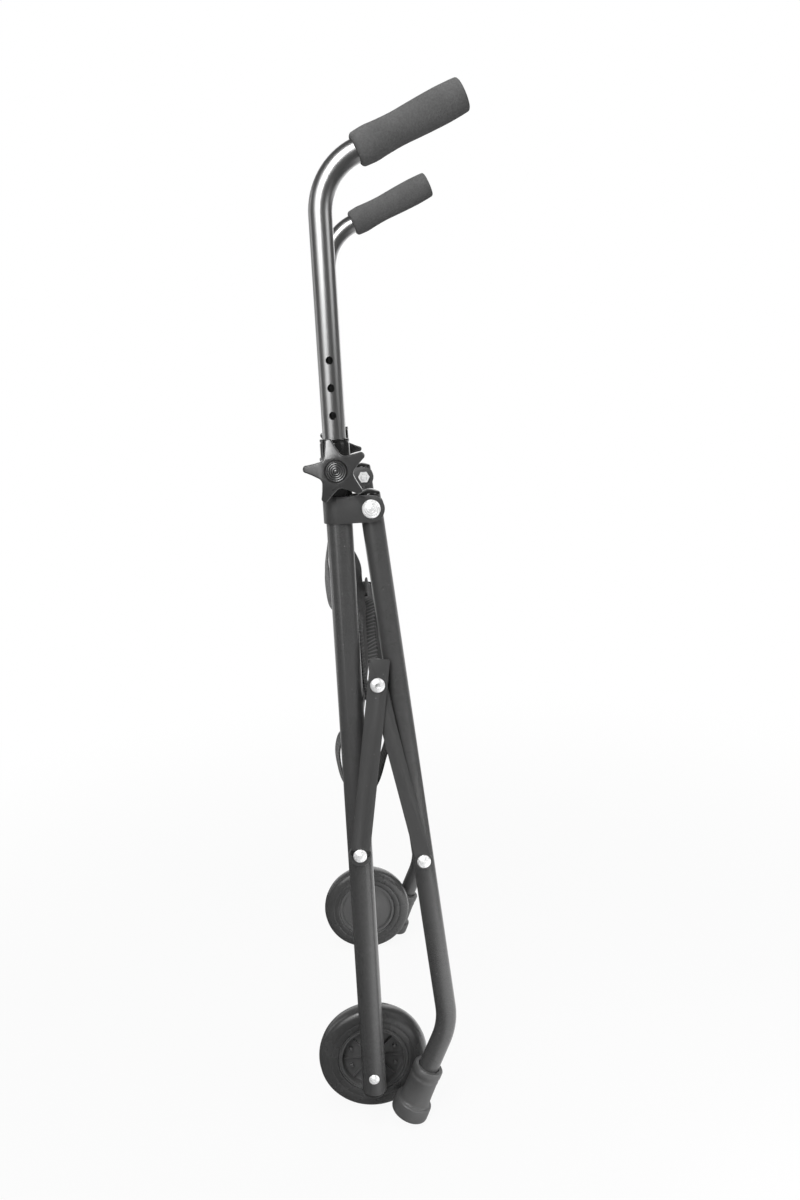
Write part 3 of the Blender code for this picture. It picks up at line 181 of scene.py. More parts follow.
# Studio: each soft box as (name, place, width, height, glow, whether the pieces mirror it)
FLOOR_RADIUS = 14
LAMPS = (("key_softbox", (1.32, -0.40, 1.62), 0.70, 1.10, 7.2, True),
         ("left_softbox", (1.75, -1.15, 1.60), 1.40, 1.40, 1.9, True),
         ("left_low_softbox", (1.90, -1.05, 0.62), 1.20, 0.50, 1.3, True),
         ("right_softbox", (1.00, 1.85, 1.60), 1.00, 1.40, 1.8, True),
         ("low_softbox", (0.52, 0.52, 0.12), 0.40, 0.25, 14.0, False),
         ("top_softbox", (0.35, 0.10, 2.80), 1.60, 1.60, 5.0, False),
         ("front_edge_strip", (-0.70, -2.00, 1.10), 0.50, 1.70, 1.2, True),
         ("back_softbox", (-1.90, 0.60, 1.40), 1.20, 1.60, 1.2, True))
AIM = (0, 0, 0.5)
CAMERA_PLACE = (1.1911, TUBE_Y + 0.0127, 0.777)
CAMERA_RIGHT = (0.05244, 0.99733, -0.05085)
CAMERA_UP = (-0.19348, 0.0601, 0.97926)
CAMERA_LENS = 30.756


class WalkerSizes(bpy.types.PropertyGroup):
    """Sizes of the visible pieces, all those of the CAD frame."""

    tube_radius: FloatProperty(name="Front tube radius", description="Outer radius of the two front tubes",
                               default=0.0127, unit="LENGTH")
    handle_radius: FloatProperty(name="Handle tube radius", description="Outer radius of the handles",
                                 default=0.0111, unit="LENGTH")
    leg_radius: FloatProperty(name="Rear leg radius", description="Outer radius of the two rear legs",
                              default=0.0110, unit="LENGTH")
    cross_radius: FloatProperty(name="Cross tube radius", description="Outer radius of the cross tubes",
                                default=0.0098, unit="LENGTH")
    hole_radius: FloatProperty(name="Height hole radius", description="Radius of the height holes",
                               default=0.0033, unit="LENGTH")
    hole_pitch: FloatProperty(name="Height step", description="Distance between two height holes",
                              default=0.0254, unit="LENGTH")
    wheel_radius: FloatProperty(name="Wheel radius", description="Outer radius of the tyres",
                                default=0.060, unit="LENGTH")
    strap_width: FloatProperty(name="Strap width", description="Width of the webbing strap",
                               default=0.021, unit="LENGTH")
    round_sides: IntProperty(name="Sides", description="Number of sides of the round pieces",
                             default=64, min=16)


class WalkerColours(bpy.types.PropertyGroup):
    """Colours of the finishes."""

    paint: FloatVectorProperty(name="Frame paint", description="Satin grey of the painted tubes",
                               subtype="COLOR", default=(0.052, 0.052, 0.052))
    handle: FloatVectorProperty(name="Handle metal", description="Bright tube of the handles",
                                subtype="COLOR", default=(0.42, 0.42, 0.42))
    plastic: FloatVectorProperty(name="Black plastic", description="Sleeves, plugs and caps",
                                 subtype="COLOR", default=(0.012, 0.012, 0.012))
    knob: FloatVectorProperty(name="Knob plastic", description="Star knobs",
                              subtype="COLOR", default=(0.032, 0.032, 0.032))
    foam: FloatVectorProperty(name="Grip foam", description="Foam of the hand grips",
                              subtype="COLOR", default=(0.088, 0.088, 0.088))
    rubber: FloatVectorProperty(name="Ferrule rubber", description="Rubber tips of the rear legs",
                                subtype="COLOR", default=(0.062, 0.062, 0.062))
    tyre: FloatVectorProperty(name="Tyre", description="Solid tyres of the wheels",
                              subtype="COLOR", default=(0.044, 0.044, 0.044))
    rim: FloatVectorProperty(name="Rim plastic", description="Ribbed rims of the wheels",
                             subtype="COLOR", default=(0.075, 0.075, 0.075))
    webbing: FloatVectorProperty(name="Webbing", description="Strap between the braces",
                                 subtype="COLOR", default=(0.025, 0.025, 0.025))


# Materials

class Socket:
    """An output socket of a material that can be used like a number."""

    def __init__(self, finish, output):
        self.finish = finish
        self.output = output

    def maths(self, operation, *values):
        """Math node on this socket and other values."""
        return self.finish.node("ShaderNodeMath", {"operation": operation}, values)

    def __add__(self, other):
        return self.maths("ADD", self, other)

    def __sub__(self, other):
        return self.maths("SUBTRACT", self, other)

    def __mul__(self, other):
        return self.maths("MULTIPLY", self, other)

    def __rsub__(self, other):
        return self.maths("SUBTRACT", other, self)

    __radd__ = __add__
    __rmul__ = __mul__

    def sine(self):
        """Sine of this socket's value, in radians."""
        return self.maths("SINE", self)

    def above(self, limit, soft):
        """0 below the limit, 1 above it, with a soft step between."""
        return self.finish.node("ShaderNodeMapRange", {"interpolation_type": "SMOOTHSTEP"},
                                (self, limit - soft, limit + soft, 0.0, 1.0))


class Finish:
    """A material whose principled shader is fed by expressions on its sockets."""

    def __init__(self, name, colour, roughness, metallic=0.0, specular=0.5):
        self.material = bpy.data.materials.new(name)
        self.material.use_nodes = True
        self.nodes = self.material.node_tree.nodes
        self.links = self.material.node_tree.links
        self.shader = self.nodes["Principled BSDF"]
        self.colour = tuple(colour)
        self.set("Base Color", (*self.colour, 1.0))
        self.set("Roughness", roughness)
        self.set("Metallic", metallic)
        self.set("Specular IOR Level", specular)
        self.material.diffuse_color = (*self.colour, 1.0)

    def feed(self, socket, value):
        """Link a socket to another one's output, or give it a constant."""
        if isinstance(value, Socket):
            self.links.new(value.output, socket)
        else:
            socket.default_value = value

    def set(self, name, value):
        """Feed one socket of the shader."""
        self.feed(self.shader.inputs[name], value)

    def node(self, kind, settings=None, inputs=(), output=0):
        """Add a node: its settings first, then its inputs by order or by name."""
        node = self.nodes.new(kind)
        for name, value in (settings or {}).items():
            setattr(node, name, value)
        pairs = inputs.items() if isinstance(inputs, dict) else enumerate(inputs)
        for name, value in pairs:
            self.feed(node.inputs[name], value)
        return Socket(self, node.outputs[output])

    def place(self, scale=(1, 1, 1), turn=(0, 0, 0), source="Object"):
        """Coordinates on the piece, scaled and turned."""
        coordinates = self.nodes.new("ShaderNodeTexCoord")
        return self.node("ShaderNodeMapping", None, {"Vector": Socket(self, coordinates.outputs[source]),
                                                     "Scale": scale, "Rotation": turn})

    def noise(self, vector, scale, detail=4.0, roughness=0.5):
        """Noise texture's value, about 0.5 on average."""
        return self.node("ShaderNodeTexNoise", None,
                         {"Vector": vector, "Scale": scale, "Detail": detail, "Roughness": roughness})

    def shade(self, amount, dark=0.6, light=1.4):
        """Base colour between a darker and a lighter tone of itself."""
        low = tuple(min(c * dark, 1.0) for c in self.colour) + (1.0,)
        high = tuple(min(c * light, 1.0) for c in self.colour) + (1.0,)
        mixed = self.mix(amount, low, high)
        self.set("Base Color", mixed)
        return mixed

    def mix(self, amount, low, high):
        """Colour between two others."""
        return self.node("ShaderNodeMix", {"data_type": "RGBA"}, {0: amount, 6: low, 7: high}, 2)

    def axis(self, vector, letter):
        """One coordinate of a vector."""
        return self.node("ShaderNodeSeparateXYZ", None, (vector,), letter)

    def bump(self, height, strength, distance):
        """Raise the surface by a height in metres times the value."""
        self.set("Normal", self.node("ShaderNodeBump", None,
                                     {"Height": height, "Strength": strength, "Distance": distance}))


def paint_finish(name, colour, roughness):
    """Satin powder coat: fine orange peel, faint cloudiness and small chips."""
    finish = Finish(name, colour, roughness, 0.0, 0.75)
    place = finish.place()
    cloud = finish.noise(place, 14.0)
    peel = finish.noise(place, 900.0, 2.0)
    grain = finish.noise(place, 2600.0, 1.0)
    chips = finish.noise(place, 420.0, 1.0).above(0.80, 0.012)
    tone = finish.shade(cloud * 0.6 + grain * 0.4, 0.82, 1.18)
    bare = (0.25, 0.25, 0.25, 1.0)
    finish.set("Base Color", finish.mix(chips, tone, bare))
    finish.set("Roughness", roughness + (cloud - 0.5) * 0.16 + (grain - 0.5) * 0.10)
    finish.bump(peel + grain * 0.5 - chips * 1.5, 0.25, 0.00025)
    return finish.material


def drawn_metal_finish(name, colour, roughness):
    """Polished drawn tube: fine lengthwise lines and light rubbing."""
    finish = Finish(name, colour, roughness, 1.0)
    lines = finish.noise(finish.place((1400.0, 1400.0, 8.0)), 1.0, 3.0)
    rub = finish.noise(finish.place((60.0, 60.0, 4.0)), 1.0, 3.0)
    finish.shade(lines * 0.5 + rub * 0.5, 0.85, 1.15)
    finish.set("Roughness", roughness + (rub - 0.5) * 0.06 + (lines - 0.5) * 0.04)
    finish.bump(lines, 0.02, 0.0001)
    return finish.material


def steel_finish(name, colour, roughness):
    """Bright plated steel with faint mottling."""
    finish = Finish(name, colour, roughness, 0.5)
    mottle = finish.noise(finish.place(), 700.0, 3.0)
    finish.shade(mottle, 0.94, 1.05)
    finish.set("Roughness", roughness + (mottle - 0.5) * 0.06)
    finish.bump(mottle, 0.03, 0.0001)
    return finish.material


def gloss_plastic_finish(name, colour, roughness):
    """Glossy moulded plastic with slight ripples and fine dust."""
    finish = Finish(name, colour, roughness, 0.0, 0.6)
    ripple = finish.noise(finish.place(), 60.0, 2.0)
    dust = finish.noise(finish.place(), 1200.0, 2.0)
    finish.shade(dust, 0.8, 1.3)
    finish.set("Roughness", roughness + (ripple - 0.5) * 0.08)
    finish.bump(ripple, 0.05, 0.0004)
    return finish.material


def matt_plastic_finish(name, colour, roughness, coat=0.0):
    """Moulded plastic with a fine spark-eroded texture and an uneven shine."""
    finish = Finish(name, colour, roughness, 0.0, 0.9)
    place = finish.place()
    grain = finish.noise(place, 1500.0, 2.0)
    cloud = finish.noise(place, 35.0, 3.0)
    finish.shade(cloud * 0.5 + grain * 0.5, 0.85, 1.15)
    finish.set("Roughness", roughness + (cloud - 0.5) * 0.2)
    finish.set("Coat Weight", coat)
    finish.set("Coat Roughness", 0.28)
    finish.bump(grain, 0.12, 0.0001)
    return finish.material


def foam_finish(name, colour):
    """Closed-cell foam: small cells and an uneven tone."""
    finish = Finish(name, colour, 0.92, 0.0, 0.1)
    place = finish.place()
    cells = finish.node("ShaderNodeTexVoronoi", {"feature": "F1"}, {"Vector": place, "Scale": 750.0})
    grain = finish.noise(place, 520.0, 4.0, 0.7)
    cloud = finish.noise(place, 45.0, 4.0)
    finish.shade(cloud * 0.35 + grain * 0.65, 0.35, 1.65)
    finish.set("Roughness", 0.84 + cloud * 0.14)
    finish.bump(cells * 0.5 + grain, 0.8, 0.0004)
    return finish.material


def rubber_finish(name, colour, roughness):
    """Dense moulded rubber with a dusty bloom."""
    finish = Finish(name, colour, roughness, 0.0, 0.8)
    place = finish.place()
    bloom = finish.noise(place, 45.0, 5.0)
    grain = finish.noise(place, 1300.0, 2.0)
    finish.shade(bloom, 0.8, 1.25)
    finish.set("Roughness", roughness + (bloom - 0.5) * 0.22)
    finish.bump(grain + bloom * 0.3, 0.2, 0.0002)
    return finish.material


# Pitches of the webbing's threads and ribs, and the place along X from which it shows ribs, which are raised
# and carry painted highlights on their crests
WEFT_PITCH = 0.0011
WARP_PITCH = 0.0013
TWILL_PITCH = 0.0042
RIB_PITCH = 0.0036
RIBS_FROM_X = 0.165


def webbing_finish(name, colour):
    """Woven webbing on the strap's own map: weft and warp threads, and wider ribs near the left side, raised
    by bump and painted much lighter as highlights on their crests.
    """
    finish = Finish(name, colour, 0.85, 0.0, 0.3)
    place = finish.place(source="UV")
    along = finish.axis(place, "X")
    across = finish.axis(place, "Y")
    weft = (along * (2 * pi / WEFT_PITCH)).sine() * 0.5 + 0.5
    # Ribs, with their painted crest highlights, only show beside the left side
    gathered_and_highlit = finish.axis(finish.place(), "X").above(RIBS_FROM_X, 0.02)
    rib_relief_and_highlight = (along * (2 * pi / RIB_PITCH)).sine().above(0.55, 0.35) * gathered_and_highlit
    twill = (along * (2 * pi / TWILL_PITCH)).sine() * 1.2
    warp = (across * (2 * pi / WARP_PITCH) + twill).sine() * 0.5 + 0.5
    weave = weft * 0.65 + warp * 0.35
    fuzz = finish.noise(finish.place(), 2400.0, 3.0)
    # The ribs lift the base colour a lot: painted highlights on the rib crests, on top of the weave's own
    # tone
    finish.shade(weave * 0.25 + fuzz * 0.15 + rib_relief_and_highlight * 0.6, 0.5, 4.2)
    finish.set("Roughness", 0.95 - weave * 0.25)
    finish.set("Sheen Weight", 0.2)
    finish.bump(weave * 0.5 + fuzz * 0.3 + rib_relief_and_highlight, 0.8, 0.0006)
    return finish.material


FINISHES = {}


def make_finishes(colours):
    """Make the material of every slot."""
    FINISHES.update({
        "frame_paint": paint_finish("satin_grey_paint", colours.paint, 0.28),
        "bracket_paint": paint_finish("bracket_grey_paint", [c * 0.85 for c in colours.paint], 0.42),
        "handle_metal": drawn_metal_finish("polished_handle_tube", colours.handle, 0.33),
        "bright_steel": steel_finish("bright_plated_steel", (0.95, 0.95, 0.95), 0.32),
        "black_plastic": gloss_plastic_finish("gloss_black_plastic", colours.plastic, 0.14),
        "knob_plastic": matt_plastic_finish("knob_plastic_grain", colours.knob, 0.30, coat=0.9),
        "grip_foam": foam_finish("closed_cell_foam", colours.foam),
        "ferrule_rubber": rubber_finish("grey_rubber", colours.rubber, 0.5),
        "tyre_rubber": rubber_finish("tyre_rubber_smooth", colours.tyre, 0.26),
        "rim_plastic": matt_plastic_finish("rim_plastic_grain", colours.rim, 0.5),
        "strap_webbing": webbing_finish("woven_webbing", colours.webbing),
        "nylon": matt_plastic_finish("plain_nylon", (0.30, 0.30, 0.30), 0.5),
    })


# Modelling

def select_none():
    """Leave edit mode and select nothing."""
    if bpy.context.object and bpy.context.object.mode != "OBJECT":
        bpy.ops.object.mode_set(mode="OBJECT")
    bpy.ops.object.select_all(action="DESELECT")


def make_active(obj):
    """Select one piece alone."""
    select_none()
    obj.select_set(True)
    bpy.context.view_layer.objects.active = obj


def open_mesh():
    """Go to edit mode with the whole mesh selected."""
    bpy.ops.object.mode_set(mode="EDIT")
    bpy.ops.mesh.select_mode(type="VERT")
    bpy.ops.mesh.select_all(action="SELECT")


def face_outwards():
    """In edit mode, turn the faces of the whole mesh outwards."""
    bpy.ops.mesh.select_all(action="SELECT")
    bpy.ops.mesh.normals_make_consistent(inside=False)


def merge_doubles():
    """In edit mode, join vertices that coincide, and turn all faces outwards."""
    bpy.ops.mesh.select_all(action="SELECT")
    bpy.ops.mesh.remove_doubles(threshold=0.000002)
    face_outwards()


def circle(name, sides, radius, fill="NOTHING"):
    """Start a piece from a circle at the origin, open in edit mode."""
    select_none()
    bpy.ops.mesh.primitive_circle_add(vertices=sides, radius=radius, fill_type=fill, location=(0, 0, 0))
    obj = bpy.context.object
    obj.name = name
    open_mesh()
    return obj


def block(name, size, centre):
    """Start a piece from a block of a given size round a place, open in edit mode."""
    select_none()
    bpy.ops.mesh.primitive_cube_add(size=1, location=(0, 0, 0))
    obj = bpy.context.object
    obj.name = name
    open_mesh()
    bpy.ops.transform.resize(value=size, center_override=(0, 0, 0))
    bpy.ops.transform.translate(value=centre)
    return obj


def pick(obj, test, kind="FACE"):
    """In edit mode, select the faces, edges or vertices whose middle and direction pass a test."""
    bpy.ops.mesh.select_mode(type=kind)
    bpy.ops.mesh.select_all(action="DESELECT")
    mesh = bmesh.from_edit_mesh(obj.data)
    mesh.normal_update()
    if kind == "FACE":
        for face in mesh.faces:
            face.select_set(test(face.calc_center_median(), face.normal))
    elif kind == "EDGE":
        for edge in mesh.edges:
            a, b = edge.verts
            edge.select_set(test((a.co + b.co) / 2, (b.co - a.co).normalized()))
    else:
        for vert in mesh.verts:
            vert.select_set(test(vert.co, vert.normal))
    mesh.select_flush_mode()
    bmesh.update_edit_mesh(obj.data)


def push(dx, dy, dz):
    """Extrude what is selected and move it."""
    bpy.ops.mesh.extrude_region_move(TRANSFORM_OT_translate={"value": (dx, dy, dz)})


def set_place(obj, place=(0, 0, 0), turn=None):
    """Move and turn a finished mesh to its place, and leave its object at the origin."""
    make_active(obj)
    move = Matrix.Translation(place)
    obj.matrix_world = move @ turn.to_4x4() if turn else move
    bpy.ops.object.transform_apply(location=True, rotation=True, scale=True)
    return obj


def apply_modifier(obj, kind, **settings):
    """Add a modifier with its settings and apply it."""
    make_active(obj)
    modifier = obj.modifiers.new(kind.lower(), kind)
    for name, value in settings.items():
        setattr(modifier, name, value)
    bpy.ops.object.modifier_apply(modifier=modifier.name)
    return obj


def smooth(obj, angle=radians(40)):
    """Shade smoothly across edges that are flatter than an angle."""
    make_active(obj)
    bpy.ops.object.shade_smooth_by_angle(angle=angle)
    return obj


def soften(obj, width):
    """Round the sharp edges of a bracket or bar and shade it smoothly."""
    apply_modifier(obj, "BEVEL", width=width, segments=2, limit_method="ANGLE", angle_limit=radians(35),
                   use_clamp_overlap=True, miter_outer="MITER_ARC")
    return smooth(obj)


def cut(obj, other, operation="DIFFERENCE"):
    """Cut with, or unite with, another piece, which is then gone."""
    apply_modifier(obj, "BOOLEAN", operation=operation, solver="EXACT", object=other)
    bpy.data.objects.remove(other, do_unlink=True)
    return obj


def turned(name, profile, sides=64, hollow=False):
    """Raise a piece on a lathe: rings at (radius, height), each one extruded from the one before it.

    A solid piece starts on its bottom face. A hollow one comes back to its first ring.
    """
    radius, height = profile[0]
    obj = circle(name, sides, radius, "NOTHING" if hollow else "NGON")
    bpy.ops.transform.translate(value=(0, 0, height))
    rings = list(profile[1:]) + ([profile[0]] if hollow else [])
    for next_radius, next_height in rings:
        push(0, 0, next_height - height)
        share = next_radius / radius
        if abs(share - 1) > 1e-9:
            bpy.ops.transform.resize(value=(share, share, 1), center_override=(0, 0, next_height))
        radius, height = next_radius, next_height
    merge_doubles()
    bpy.ops.object.mode_set(mode="OBJECT")
    return obj


def tube(name, radius, wall, start, steps, sides=64):
    """Draw a hollow tube in the YZ plane: ("run", dy, dz) or ("bend", angle, centre y, centre z)."""
    obj = circle(name, sides, radius)
    x, y, z, lean = start
    bpy.ops.transform.translate(value=(x, y, z))
    if lean:
        tilt_selection(obj, lean, (x, y, z))
    for kind, *numbers in steps:
        if kind == "run":
            push(0, *numbers)
        else:
            angle, cy, cz = numbers
            bpy.ops.mesh.spin(steps=max(6, round(abs(degrees(angle)) / 4)), angle=angle,
                              center=(x, cy, cz), axis=(1, 0, 0))
    merge_doubles()
    bpy.ops.object.mode_set(mode="OBJECT")
    return apply_modifier(obj, "SOLIDIFY", thickness=wall, offset=-1, use_even_offset=True)


def tilt_selection(obj, angle, centre):
    """Turn the selected vertices about an axis along X."""
    mesh = bmesh.from_edit_mesh(obj.data)
    verts = [v for v in mesh.verts if v.select]
    bmesh.ops.rotate(mesh, verts=verts, cent=centre, matrix=Matrix.Rotation(angle, 3, "X"))
    bmesh.update_edit_mesh(obj.data)


# Turns that point a piece's own Z outwards, and one that also stands its Y up
OUTWARD = Matrix.Rotation(pi / 2, 3, "Y")
STAND = Matrix(((0, 0, 1), (1, 0, 0), (0, 1, 0)))


def drill(obj, radius, place, through=False, reach=DRILL_REACH, sides=32):
    """Drill a hole along X from a place outwards, or right through."""
    bit = turned("drill", [(radius, -reach if through else 0), (radius, reach)], sides)
    return cut(obj, set_place(bit, place, OUTWARD))


def ride(obj, node, body, slot):
    """Dress a finished piece: material, CAD body and the CAD node that it stands for."""
    if not FINISHES:
        make_finishes(bpy.context.scene.walker_colours)
    obj.data.materials.clear()
    obj.data.materials.append(FINISHES[slot])
    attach(obj, body)
    if node:
        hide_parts(node)


def mirrored(obj):
    """Turn a left piece into its right twin."""
    make_active(obj)
    obj.scale = (-1, 1, 1)
    bpy.ops.object.transform_apply(location=True, rotation=True, scale=True)
    bpy.ops.object.mode_set(mode="EDIT")
    face_outwards()
    bpy.ops.object.mode_set(mode="OBJECT")
    return obj


def dress(obj, side, name, body, slot, node=True):
    """Name one side's piece, and give it its finish, its CAD body and the CAD node that it stands for."""
    obj.name = side + "_" + name + "_finished"
    obj.data.name = obj.name
    body = body if body == "front_frame" else side + "_" + body
    ride(obj, side + "_" + name if node else None, body, slot)


def both_sides(obj, name, body, slot, node=True):
    """Copy the left piece to the right side, and dress both."""
    make_active(obj)
    bpy.ops.object.duplicate()
    other = bpy.context.object
    other.data = other.data.copy()
    dress(mirrored(other), "right", name, body, slot, node)
    dress(obj, "left", name, body, slot, node)


def on_axis(obj, x, axis, name, body, slot="bright_steel"):
    """Set a turned piece on a pin's axis at a place along X, on both sides."""
    both_sides(set_place(obj, (x, axis.y, axis.z), OUTWARD), name, body, slot)


def span(node):
    """Where a CAD node starts along X, and how deep it is."""
    low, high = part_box(node)
    return low.x, high.x - low.x


# Outlines for the lathe, as (radius, height)

def rounded(profile, radius, steps=3):
    """Round the corners of an open outline."""
    points = [profile[0]]
    for before, corner, after in zip(profile, profile[1:], profile[2:]):
        a, b, c = Vector(before), Vector(corner), Vector(after)
        u, v = a - b, c - b
        reach = min(radius, u.length * 0.45, v.length * 0.45)
        if reach < 0.00002:
            points.append(corner)
            continue
        p, q = b + u.normalized() * reach, b + v.normalized() * reach
        for i in range(steps + 1):
            t = i / steps
            w = p * (1 - t) ** 2 + b * 2 * t * (1 - t) + q * t ** 2
            points.append((w.x, w.y))
    points.append(profile[-1])
    return points


def closed_rounded(profile, radius, steps=2):
    """Round every corner of a closed outline."""
    loop = rounded([profile[-1]] + list(profile) + [profile[0]], radius, steps)
    return loop[1:-1]


def washer_profile(bore, radius, low, high):
    """Closed outline of a ring, outer side first."""
    return [(radius, low), (radius, high), (bore, high), (bore, low)]


def ring(name, bore, radius, low, high, edge):
    """Plain ring with rounded edges."""
    outline = closed_rounded(washer_profile(bore, radius, low, high), edge)
    return smooth(turned(name, outline, 48, hollow=True))


def head_profile(head, shank, length):
    """Domed head on a shank, from the shank's end to the top, with rings turned into its face."""
    radius, height, rings = head
    points = [(shank * 0.85, -length), (shank, -length + shank * 0.15), (shank, 0), (radius, 0)]
    edge = height * 0.35
    points += [(radius, edge * 0.6), (radius * 0.97, edge)]
    for share in (0.9, 0.8, 0.68, 0.55, 0.42, 0.3, 0.18):
        rise = edge + (height - edge) * (1 - share ** 2)
        if any(abs(share - place) < 0.06 for place in rings):
            points += [(radius * (share + 0.05), rise - 0.00002), (radius * share, rise - 0.00045),
                       (radius * (share - 0.05), rise + 0.00002)]
        else:
            points.append((radius * share, rise))
    points.append((radius * 0.06, height))
    return points


def hexagon(name, radius, height, bore):
    """Hexagon nut along Z from 0 to its height, with chamfered corners."""
    obj = circle(name, 6, radius, "NGON")
    push(0, 0, height)
    bpy.ops.object.mode_set(mode="OBJECT")
    chamfer = radius * 0.09
    crown = [(radius * 0.88, 0), (radius * 1.02, chamfer), (radius * 1.02, height - chamfer),
             (radius * 0.88, height)]
    cut(obj, turned(name + "_crown", crown, 48), "INTERSECT")
    cut(obj, turned(name + "_hole", [(bore, -height), (bore, 2 * height)], 32))
    return smooth(obj, radians(25))


# Front tubes, sleeves, handles and knobs

class MakeFrontTubes(bpy.types.Operator):
    """Front tubes with rolled rims, and the plugs in their lower ends"""

    bl_idname = "walker.make_front_tubes"
    bl_label = "Front tubes"

    def execute(self, context):
        sizes = context.scene.walker_sizes
        radius = sizes.tube_radius
        bore = radius - FRONT_WALL
        outline = closed_rounded(washer_profile(bore, radius, TUBE_LOW.z, TUBE_HIGH.z), 0.0004)
        body = smooth(turned("front_tube", outline, sizes.round_sides, hollow=True))
        set_place(body, (HALF_WIDTH, TUBE_Y, 0))
        drill(body, PIN_HOLE, (HALF_WIDTH, FRONT_EYE.y, FRONT_EYE.z))
        drill(body, AXLE_HOLE, (HALF_WIDTH, AXLE.y, AXLE.z), through=True)
        drill(body, PIN_HOLE, (HALF_WIDTH, KNOB.y, KNOB.z))
        both_sides(smooth(body), "front_tube", "front_frame", "frame_paint")

        plug_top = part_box("left_tube_end_cap")[1].z
        seat = TUBE_LOW.z - GAP
        outline = [(bore * 0.5, plug_top), (bore - 0.001, plug_top), (bore - GAP, plug_top - 0.001),
                   (bore - GAP, seat), (radius, seat)]
        outline += [(radius * cos(i * pi / 16), seat - END_CAP_DOME * sin(i * pi / 16)) for i in range(1, 8)]
        plug = set_place(smooth(turned("end_cap", outline, 48)), (HALF_WIDTH, TUBE_Y, 0))
        both_sides(plug, "tube_end_cap", "front_frame", "black_plastic")
        return {"FINISHED"}


class MakeSleeves(bpy.types.Operator):
    """Glossy sleeves round the tops of the front tubes, with a lip and a small clamp screw"""

    bl_idname = "walker.make_sleeves"
    bl_label = "Height sleeves"

    def execute(self, context):
        sizes = context.scene.walker_sizes
        low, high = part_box("left_height_sleeve")
        bore = sizes.tube_radius + GAP
        radius = bore + SLEEVE_WALL
        lip = radius - 0.0005
        outline = [(radius, low.z), (radius, high.z - 0.0042), (lip, high.z - 0.0036), (lip, high.z - 0.0030),
                   (radius, high.z - 0.0024), (radius, high.z), (bore, high.z), (bore, low.z)]
        sleeve = turned("sleeve", closed_rounded(outline, 0.00035), sizes.round_sides, hollow=True)
        set_place(sleeve, (HALF_WIDTH, TUBE_Y, 0))
        drill(sleeve, PIN_HOLE, (HALF_WIDTH, KNOB.y, KNOB.z))
        both_sides(smooth(sleeve), "height_sleeve", "front_frame", "black_plastic")

        screw = smooth(turned("screw", head_profile(SCREW_HEAD, 0.0015, 0.0012), 32))
        turn = Matrix.Rotation(SCREW_TURN, 3, "Z")
        foot = Vector((HALF_WIDTH, TUBE_Y, low.z + SCREW_RISE))
        set_place(screw, foot + turn @ Vector((bore, 0, 0)), turn @ OUTWARD)
        both_sides(screw, "sleeve_screw", "front_frame", "bright_steel", node=False)
        return {"FINISHED"}


class MakeHandles(bpy.types.Operator):
    """Sliding handle tubes with their rows of height holes, and the foam grips"""

    bl_idname = "walker.make_handles"
    bl_label = "Handles and grips"

    def execute(self, context):
        sizes = context.scene.walker_sizes
        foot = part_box("left_handle_tube")[0].z
        end = GRIP_LENGTH - GRIP_END_WALL - GAP
        bend = HANDLE_BEND_RADIUS
        steps = [("run", 0, HANDLE_BEND_START - foot),
                 ("bend", pi / 2 - GRIP_RISE, TUBE_Y + bend, HANDLE_BEND_START),
                 ("run", end * cos(GRIP_RISE), end * sin(GRIP_RISE))]
        handle = tube("handle", sizes.handle_radius, HANDLE_WALL, (HALF_WIDTH, TUBE_Y, foot, 0), steps)
        cut(handle, height_drills(sizes))
        both_sides(smooth(handle), "handle_tube", "handle", "handle_metal")

        grip = turned("grip", grip_profile(sizes.handle_radius + GAP), 96)
        place = (HALF_WIDTH, TUBE_Y + bend * (1 - sin(GRIP_RISE)), HANDLE_BEND_START + bend * cos(GRIP_RISE))
        set_place(grip, place, Matrix.Rotation(GRIP_RISE - pi / 2, 3, "X"))
        both_sides(smooth(grip, radians(60)), "grip", "handle", "grip_foam")
        return {"FINISHED"}


def height_drills(sizes):
    """Row of countersinking drills, joined, for the outer side of a handle tube."""
    hole, skin = sizes.hole_radius, sizes.handle_radius
    wide = hole + COUNTERSINK
    outline = [(hole, 0), (hole, skin - 0.0007), (wide, skin + 0.0001), (wide, DRILL_REACH)]
    drills = []
    for i in range(-HOLES_BELOW_KNOB, HOLES_ABOVE_KNOB + 1):
        place = (HALF_WIDTH, TUBE_Y, KNOB.z + i * sizes.hole_pitch)
        drills.append(set_place(turned("drill", outline, 32), place, OUTWARD))
    select_none()
    for bit in drills:
        bit.select_set(True)
    bpy.context.view_layer.objects.active = drills[0]
    bpy.ops.object.join()
    return drills[0]


def grip_profile(bore):
    """Outline from the blind end of the bore, round the open end and along the outside."""
    length = GRIP_LENGTH
    outside = [(0.0159, 0.0045), (0.0162, 0.0085), (0.0165, 0.0131), (0.01645, 0.017), (0.0160, 0.022),
               (0.0156, 0.028), (0.01525, 0.035), (0.0151, 0.042), (0.0152, 0.0475), (0.0155, 0.054),
               (0.0158, 0.0613), (0.0161, 0.070), (0.0163, 0.079), (0.0164, 0.088), (0.0162, 0.094),
               (0.0159, 0.1015), (0.0155, length - 0.0025)]
    start = [(0.0159 - 0.0042 * (1 - cos(a)), 0.0042 * (1 - sin(a)))
             for a in (pi / 2, 1.25, 0.95, 0.65, 0.35)]
    end = [(0.0155 - 0.0025 * (1 - cos(a)), length - 0.0025 * (1 - sin(a)))
           for a in (0.4, 0.8, 1.2, pi / 2)]
    face = [(0.009, length + 0.0002), (0.004, length + 0.0003)]
    floor = length - GRIP_END_WALL
    return [(bore * 0.4, floor), (bore, floor), (bore, 0.0003)] + start + outside + end + face


